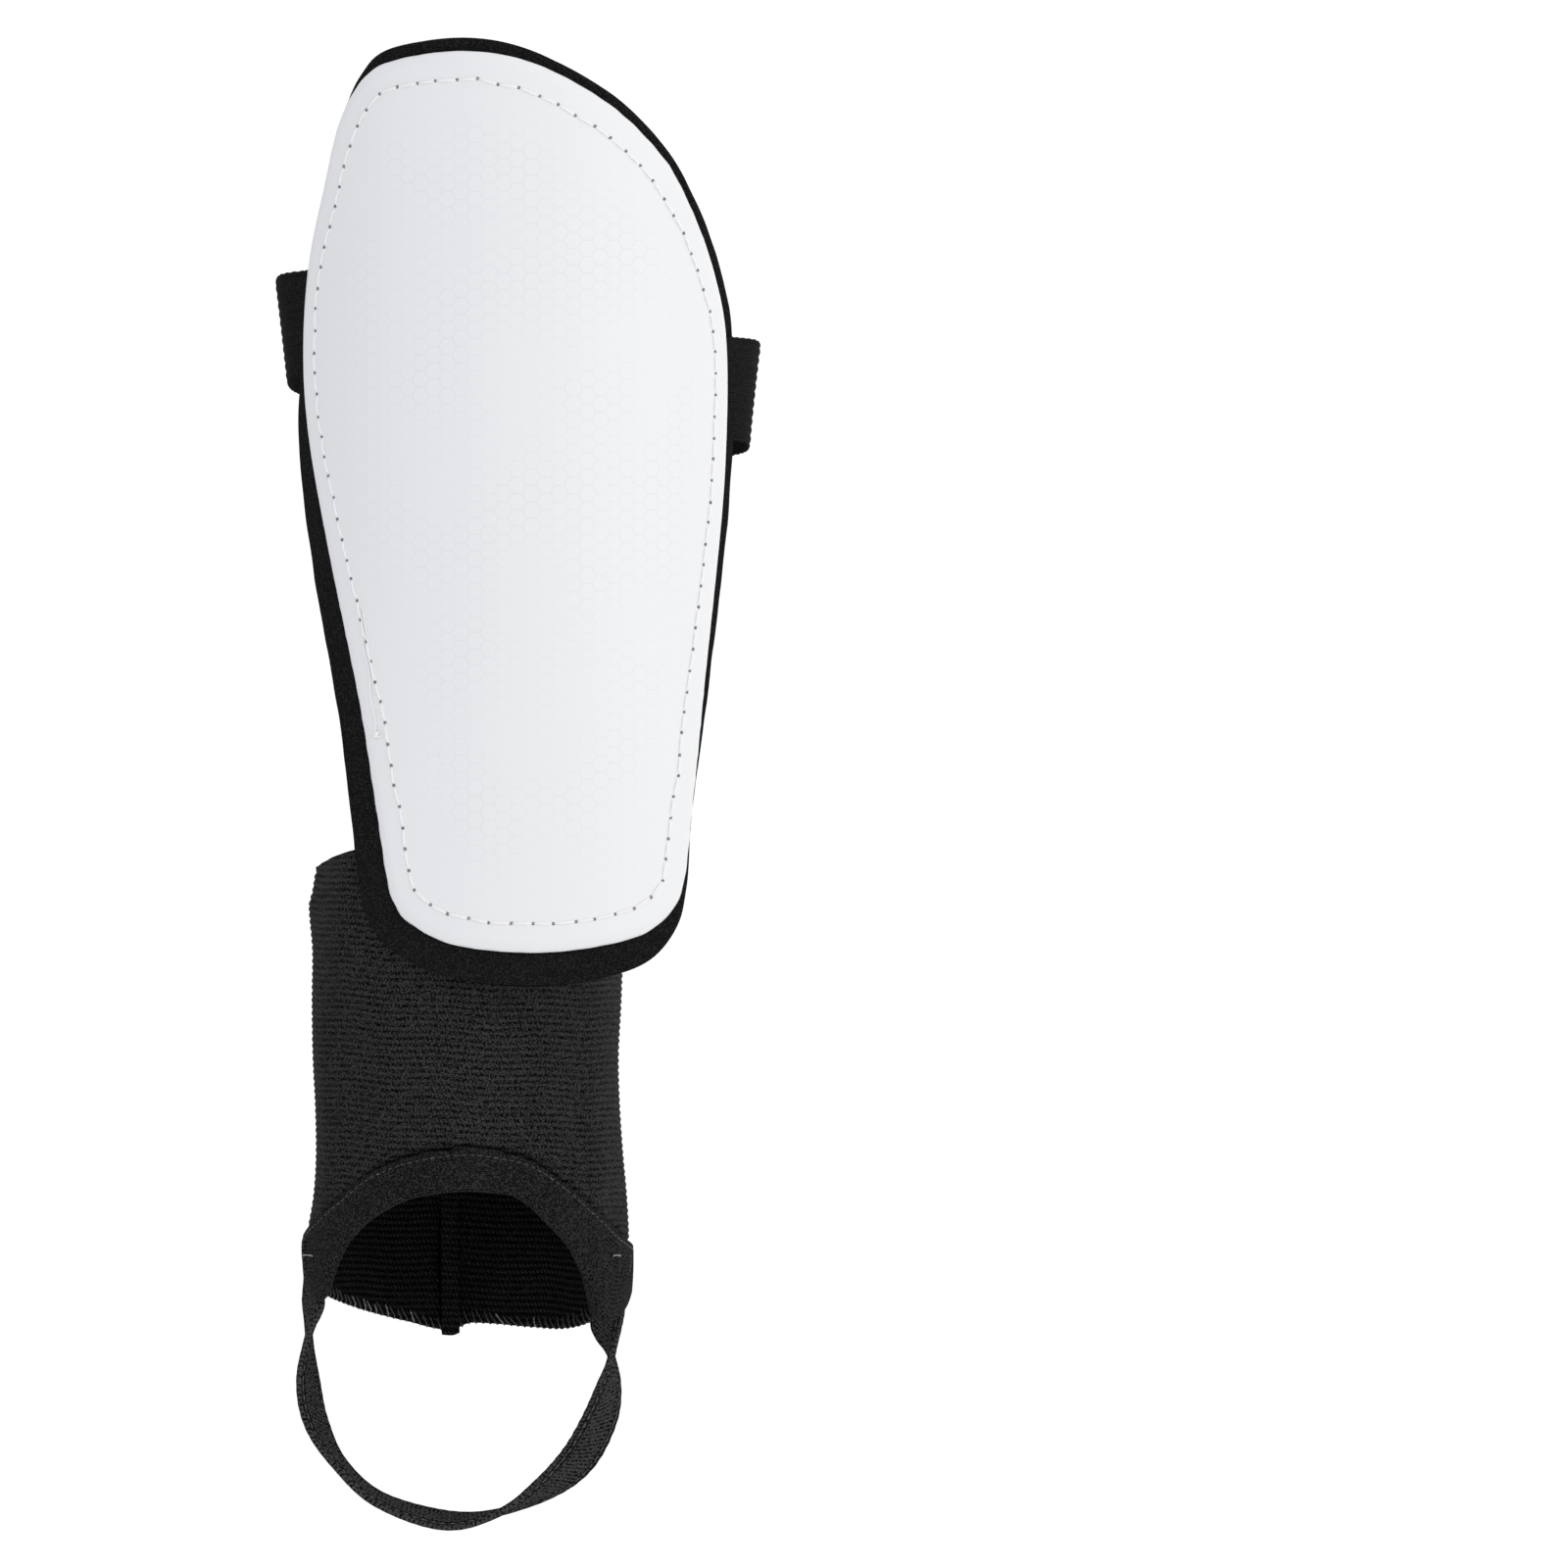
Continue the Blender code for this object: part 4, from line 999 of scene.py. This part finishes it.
def buildTape():
    angles = np.linspace(*tape["angles"], 190)
    low, high = openingLow(angles), smoothAngles(tapeTop, angles)
    ease = smoothStep((angles - tape["angles"][0]) / 6) * smoothStep((tape["angles"][1] - angles) / 6)
    outer = 0.12 + tape["thick"] / 2
    inner = -sleeve["thick"] - 0.12 - tape["thick"] / 2
    outRows, inRows = tape["outRows"], tape["inRows"]
    fold = np.linspace(0, math.pi, 9)[1:-1]
    turned = (outer + inner) / 2 + (outer - inner) / 2 * np.cos(fold)
    offsets = np.concatenate([np.full(outRows, outer), turned, np.full(inRows, inner)])
    rise = np.concatenate([np.linspace(1, 0, outRows), np.zeros(len(fold)), np.linspace(0, 1, inRows)])
    dip = np.concatenate([np.zeros(outRows), np.sin(fold), np.zeros(inRows)])
    crease = 0.10 * np.sin(angles * 1.35) + 0.07 * np.sin(angles * 2.9 + 1.0)
    body = high - low
    z = low[:, None] + 0.35 + rise[None] * (body - 0.35)[:, None]
    z[:, -inRows:] -= tape["insideDrop"] * np.linspace(0, 1, inRows)[None]
    z -= dip[None] * 0.95
    offsets = offsets[None] + crease[:, None] * np.sin(np.clip(rise, 0, 1) * math.pi)[None]
    half = tape["thick"] / 2 * (0.35 + 0.65 * ease)
    centres = onSleeve(angles[:, None], z, offsets)
    tangent = unit(np.gradient(centres, axis=1))
    along = unit(np.gradient(centres, axis=0))
    normal = unit(np.cross(tangent, along))
    one = centres + normal * half[:, None, None]
    two = centres - normal * half[:, None, None]
    points = np.concatenate([one, two[:, ::-1]], 1)
    size = points.shape[1]
    run = np.concatenate([[0], np.cumsum(np.linalg.norm(np.diff(centres[0], axis=0), axis=1))])
    uv = np.stack([np.broadcast_to(sleeveArc(angles)[:, None], (len(angles), size)),
                   np.broadcast_to(np.concatenate([run, run[::-1]])[None], (len(angles), size))], -1)
    faces = ringFaces(len(angles), size)
    faces += endFaces(len(angles), size)
    piece = makePiece("instepTape", points.reshape(-1, 3), faces, looks["tape"], uv.reshape(-1, 2))
    length = float(np.linalg.norm(np.diff(onSleeve(angles, low, outer), axis=0), axis=1).sum())
    bind(piece, ["instep_binding"], "sleeve")
    line = np.stack([angles, high - 1.3], 1)[8:-8]
    spots = onSleeve(line[:, 0], line[:, 1], outer + tape["thick"] / 2 - 0.02)
    ups = unit(onSleeve(line[:, 0], line[:, 1], 3.0) - spots)
    spots = alongLine(np.hstack([spots, ups]), np.linspace(0, 1, int(length / 2.3)))
    places = between(spots, 0.7)
    # every eighth stitch in lighter grey thread: painted glints along the dark stitch line
    stitches = copyAlong(stitchModel(0.15, 0.25, looks["greyThread"]), places[::8], "tapeStitchGlints")
    dark = [place for k, place in enumerate(places) if k % 8]
    others = copyAlong(stitchModel(0.2, 0.25, looks["blackThread"]), dark, "tapeStitches")
    bind(stitches, (), "sleeve")
    bind(others, ["instep_binding_thread"], "sleeve")
    print("instep tape made")


overlock = dict(angles=(104.0, 256.0), pitch=1.9, height=2.9, lightFrom=((121, 131), (141, 168), (200, 232)),
                radius=0.17)
joinStitch = dict(angles=(-44.0, 33.0), step=3.6, span=2.5, height=-91.4, radius=0.22)


def buildOverlock():
    light, dark = [], []
    step = overlock["pitch"] / 41.0
    for angle in np.arange(*overlock["angles"], math.degrees(step)):
        low = float(openingLow(angle))
        tall = overlock["height"] * random.uniform(0.75, 1.15)
        inner, outer = -sleeve["thick"] - 0.25, 0.2
        shift = random.uniform(0.6, 2.6)
        route = [(angle + shift, low + tall, inner), (angle + shift * 0.5, low + tall * 0.55, inner - 0.12),
                 (angle, low + 0.5, inner), (angle - 0.4, low - 0.12, (inner + outer) / 2),
                 (angle - 0.9, low + 0.5, outer), (angle - 1.5, low + 1.5, outer - 0.15)]
        route = smoothRun(route, 18)
        line = onSleeve(route[:, 0], route[:, 1], route[:, 2])
        bright = any(a < angle < b for a, b in overlock["lightFrom"]) and random.random() < 0.34
        (light if bright else dark).append(line)
    pale = threadRun("edgeOverlockLight", light, overlock["radius"], looks["paleThread"])
    plain = threadRun("edgeOverlock", dark, overlock["radius"], looks["blackThread"])
    rows = []
    for angle in np.arange(*joinStitch["angles"], joinStitch["step"]):
        turns = np.linspace(angle, angle + joinStitch["span"], 8)
        rows.append(onSleeve(turns, joinStitch["height"], -sleeve["thick"] - 0.1))
    join = threadRun("sleeveJoinStitches", rows, joinStitch["radius"], looks["blackThread"])
    bind(pale, (), "sleeve")
    bind(plain, ["back_edge_overlock"], "sleeve")
    bind(join, ["sleeve_join_thread"], "guard")
    print("overlock made")


stirrup = dict(width=10.2, thick=1.35, ribs=6, ribHeight=0.26, tackHeight=-184.0)
# across, height, turn of the strap's face away from the front
stirrupRoute = [(-51.0, -186.0, 82), (-50.6, -191.5, 70), (-50.3, -197.0, 62), (-51.4, -204.5, 90),
                (-51.6, -215.5, 119), (-49.6, -225.9, 121), (-43.9, -236.0, 106), (-34.2, -244.8, 107),
                (-18.2, -249.9, 113), (-5.2, -248.2, 92), (6.4, -242.1, 58), (14.7, -234.8, 33),
                (20.0, -225.3, 36), (22.3, -217.0, 58), (22.9, -209.8, 90), (21.7, -201.0, 140),
                (24.2, -193.0, 118), (25.6, -186.0, 100)]


def sideways(centres):  # directions across a line that runs in one upright plane
    tangent = unit(np.gradient(centres, axis=0))
    return np.stack([tangent[:, 2], np.zeros(len(centres)), -tangent[:, 0]], 1)


def stirrupRun(count):
    run = evenRun(smoothRun(stirrupRoute, 600) * np.array([1.0, 1.0, 0.2]), count)
    across, height, turn = run[:, 0], run[:, 1], np.radians(run[:, 2] * 5.0)
    centres = np.stack([across, np.full(count, sleeve["centreY"] - 2.0), height], 1)
    normals = sideways(centres) * np.sin(turn)[:, None] + np.array([0.0, -1.0, 0.0]) * np.cos(turn)[:, None]
    return centres, normals


def buildStirrup():
    centres, normals = stirrupRun(220)
    section = bandSection(stirrup["width"], stirrup["thick"], stirrup["ribs"], stirrup["ribHeight"], 6)
    edgeRib = 0.36 * (bell(np.abs(section[:, 0]), 4.3, 0.35) + bell(np.abs(section[:, 0]), 3.3, 0.3))
    section[:, 1] += np.sign(section[:, 1]) * edgeRib
    band, length = bandPiece("stirrupStrap", centres, normals, section, looks["stirrupWeb"], 1.0, 0.0, 0.08)
    bind(band, ["stirrup_strap"])
    tangent, normals, side = bandFrame(centres, normals)
    places = []
    for sign in (-1, 1):
        line = centres + side * sign * 3.8
        for face in (-1, 1):
            lift = line + normals * face * (stirrup["thick"] / 2 + 0.05)
            spots = alongLine(np.hstack([lift, normals * face]), np.linspace(0.06, 0.94, int(length / 2.6)))
            places += between(spots, 0.62)
    stitches = copyAlong(stitchModel(0.14, 0.2, looks["greyThread"], 6), places, "stirrupStitches")
    bind(stitches, ["stirrup_edge_stitching"])
    for piece in (band, stitches):
        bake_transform(piece)
    print("stirrup strap made, length", round(length, 1))


fold = dict(width=10.1, thick=1.15, tack={-1: (-80.0, -67.0), 1: (60.0, 65.5)}, tackHeight=-185.0,
            left=[(-50.3, -192.5), (-50.2, -188.0), (-50.2, -184.0), (-50.6, -181.0), (-51.6, -180.0),
                  (-52.5, -181.2), (-52.6, -184.4), (-52.2, -188.0), (-51.7, -191.5)],
            right=[(25.2, -194.0), (25.2, -190.0), (25.4, -187.0), (25.7, -184.6), (26.6, -183.9),
                   (27.4, -185.0), (27.4, -187.4), (26.8, -190.4), (26.2, -193.5)])


def buildFolds():
    section = bandSection(fold["width"], fold["thick"], 5, 0.08, 4)
    for word, side in (("left", -1), ("right", 1)):
        route = evenRun(smoothRun(fold[word], 200), 60)
        centres = np.stack([route[:, 0], np.full(60, sleeve["centreY"] - 3.6), route[:, 1]], 1)
        piece, length = bandPiece("stirrupFold" + word.title(), centres, sideways(centres), section,
                                  looks["stirrupWeb"])
        bind(piece, ["stirrup_fold_" + word], "sleeve")
        lines = []
        for k in range(2):
            turn = np.linspace(*fold["tack"][side], 14)
            sag = 0.5 * np.sin(np.linspace(0, math.pi, 14)) * (0.5 - 0.3 * k)
            drop = fold["tackHeight"] + 0.22 * k + sag
            lines.append(onSleeve(turn, drop, 1.55 + 0.12 * (k % 2)))
        tack = threadRun("stirrupTack" + word.title(), lines, 0.13, looks["paleThread"])
        bind(tack, ["stirrup_bar_tack_" + word], "sleeve")
    print("stirrup folds made")


buildShell()
buildBacking()
buildRimStitches()
buildBackTack()
buildCalfStrap()
buildPatches()
buildSleeve()
buildTape()
buildOverlock()
buildStirrup()
buildFolds()


studio = dict(distance=16.0, lens=1500.0, cameraX=65.3, cameraZ=-69.1, floorDrop=45.0, ambient=1.0,
              shadeFrom=-0.42, shadeTo=-0.16, shadeLeft=(0.66, 0.67, 0.70), shadeRight=(1.0, 1.0, 1.0))


def buildStudio():
    bpy.ops.mesh.primitive_circle_add(vertices=96, radius=0.5, fill_type="NGON",
                                      location=(0, 0.04, cadBounds[0][2] - studio["floorDrop"] * mm))
    floor = bpy.context.object
    floor.name = "studioFloor"
    board = Board("paleFloor")
    floor.data.materials.append(board.finish(board.mixColour(board.noise(5.0), grey(0.9), grey(0.93)),
                                             Roughness=0.9))
    world = bpy.data.worlds.new("softWhite")
    bpy.context.scene.world = world
    world.use_nodes = True
    tree = world.node_tree
    ambient = tree.nodes["Background"]
    ambient.inputs["Strength"].default_value = studio["ambient"]
    side = tree.nodes.new("ShaderNodeSeparateXYZ")
    tree.links.new(tree.nodes.new("ShaderNodeTexCoord").outputs["Generated"], side.inputs[0])
    rise = tree.nodes.new("ShaderNodeMapRange")
    rise.interpolation_type = "SMOOTHSTEP"
    rise.inputs["From Min"].default_value = studio["shadeFrom"]
    rise.inputs["From Max"].default_value = studio["shadeTo"]
    tree.links.new(side.outputs[0], rise.inputs["Value"])
    tint = tree.nodes.new("ShaderNodeMix")
    tint.data_type = "RGBA"
    tint.inputs["A"].default_value = (*studio["shadeLeft"], 1)
    tint.inputs["B"].default_value = (*studio["shadeRight"], 1)
    tree.links.new(rise.outputs["Result"], tint.inputs["Factor"])
    tree.links.new(tint.outputs["Result"], ambient.inputs["Color"])
    backdrop = tree.nodes.new("ShaderNodeBackground")
    backdrop.inputs["Color"].default_value = (1, 1, 1, 1)
    backdrop.inputs["Strength"].default_value = 1.05
    path = tree.nodes.new("ShaderNodeLightPath")
    mix = tree.nodes.new("ShaderNodeMixShader")
    tree.links.new(path.outputs["Is Camera Ray"], mix.inputs[0])
    tree.links.new(ambient.outputs[0], mix.inputs[1])
    tree.links.new(backdrop.outputs[0], mix.inputs[2])
    tree.links.new(mix.outputs[0], tree.nodes["World Output"].inputs["Surface"])
    lights = (("keyRight", (1.7, -1.3, 0.1), 1.8, 3.5), ("fillLeft", (-1.6, -1.4, 0.3), 1.4, 2.0),
              ("rearSoft", (0.2, 1.8, 0.6), 1.6, 6.0))
    for name, place, size, power in lights:
        data = bpy.data.lights.new(name, "AREA")
        data.size = size
        data.energy = power
        lamp = bpy.data.objects.new(name, data)
        lamp.location = place
        lamp.rotation_euler = (Vector((0, 0.03, -0.07)) - Vector(place)).to_track_quat("-Z", "Y").to_euler()
        bpy.context.scene.collection.objects.link(lamp)
    data = bpy.data.cameras.new("frontCamera")
    data.lens = studio["lens"]
    data.sensor_width = 36.0
    camera = bpy.data.objects.new("frontCamera", data)
    camera.location = (studio["cameraX"] * mm, -studio["distance"], studio["cameraZ"] * mm)
    camera.rotation_euler = (math.radians(90), 0, 0)
    bpy.context.scene.collection.objects.link(camera)
    bpy.context.scene.camera = camera
    bpy.context.scene.view_settings.view_transform = "Standard"


buildStudio()
print("scene ready")
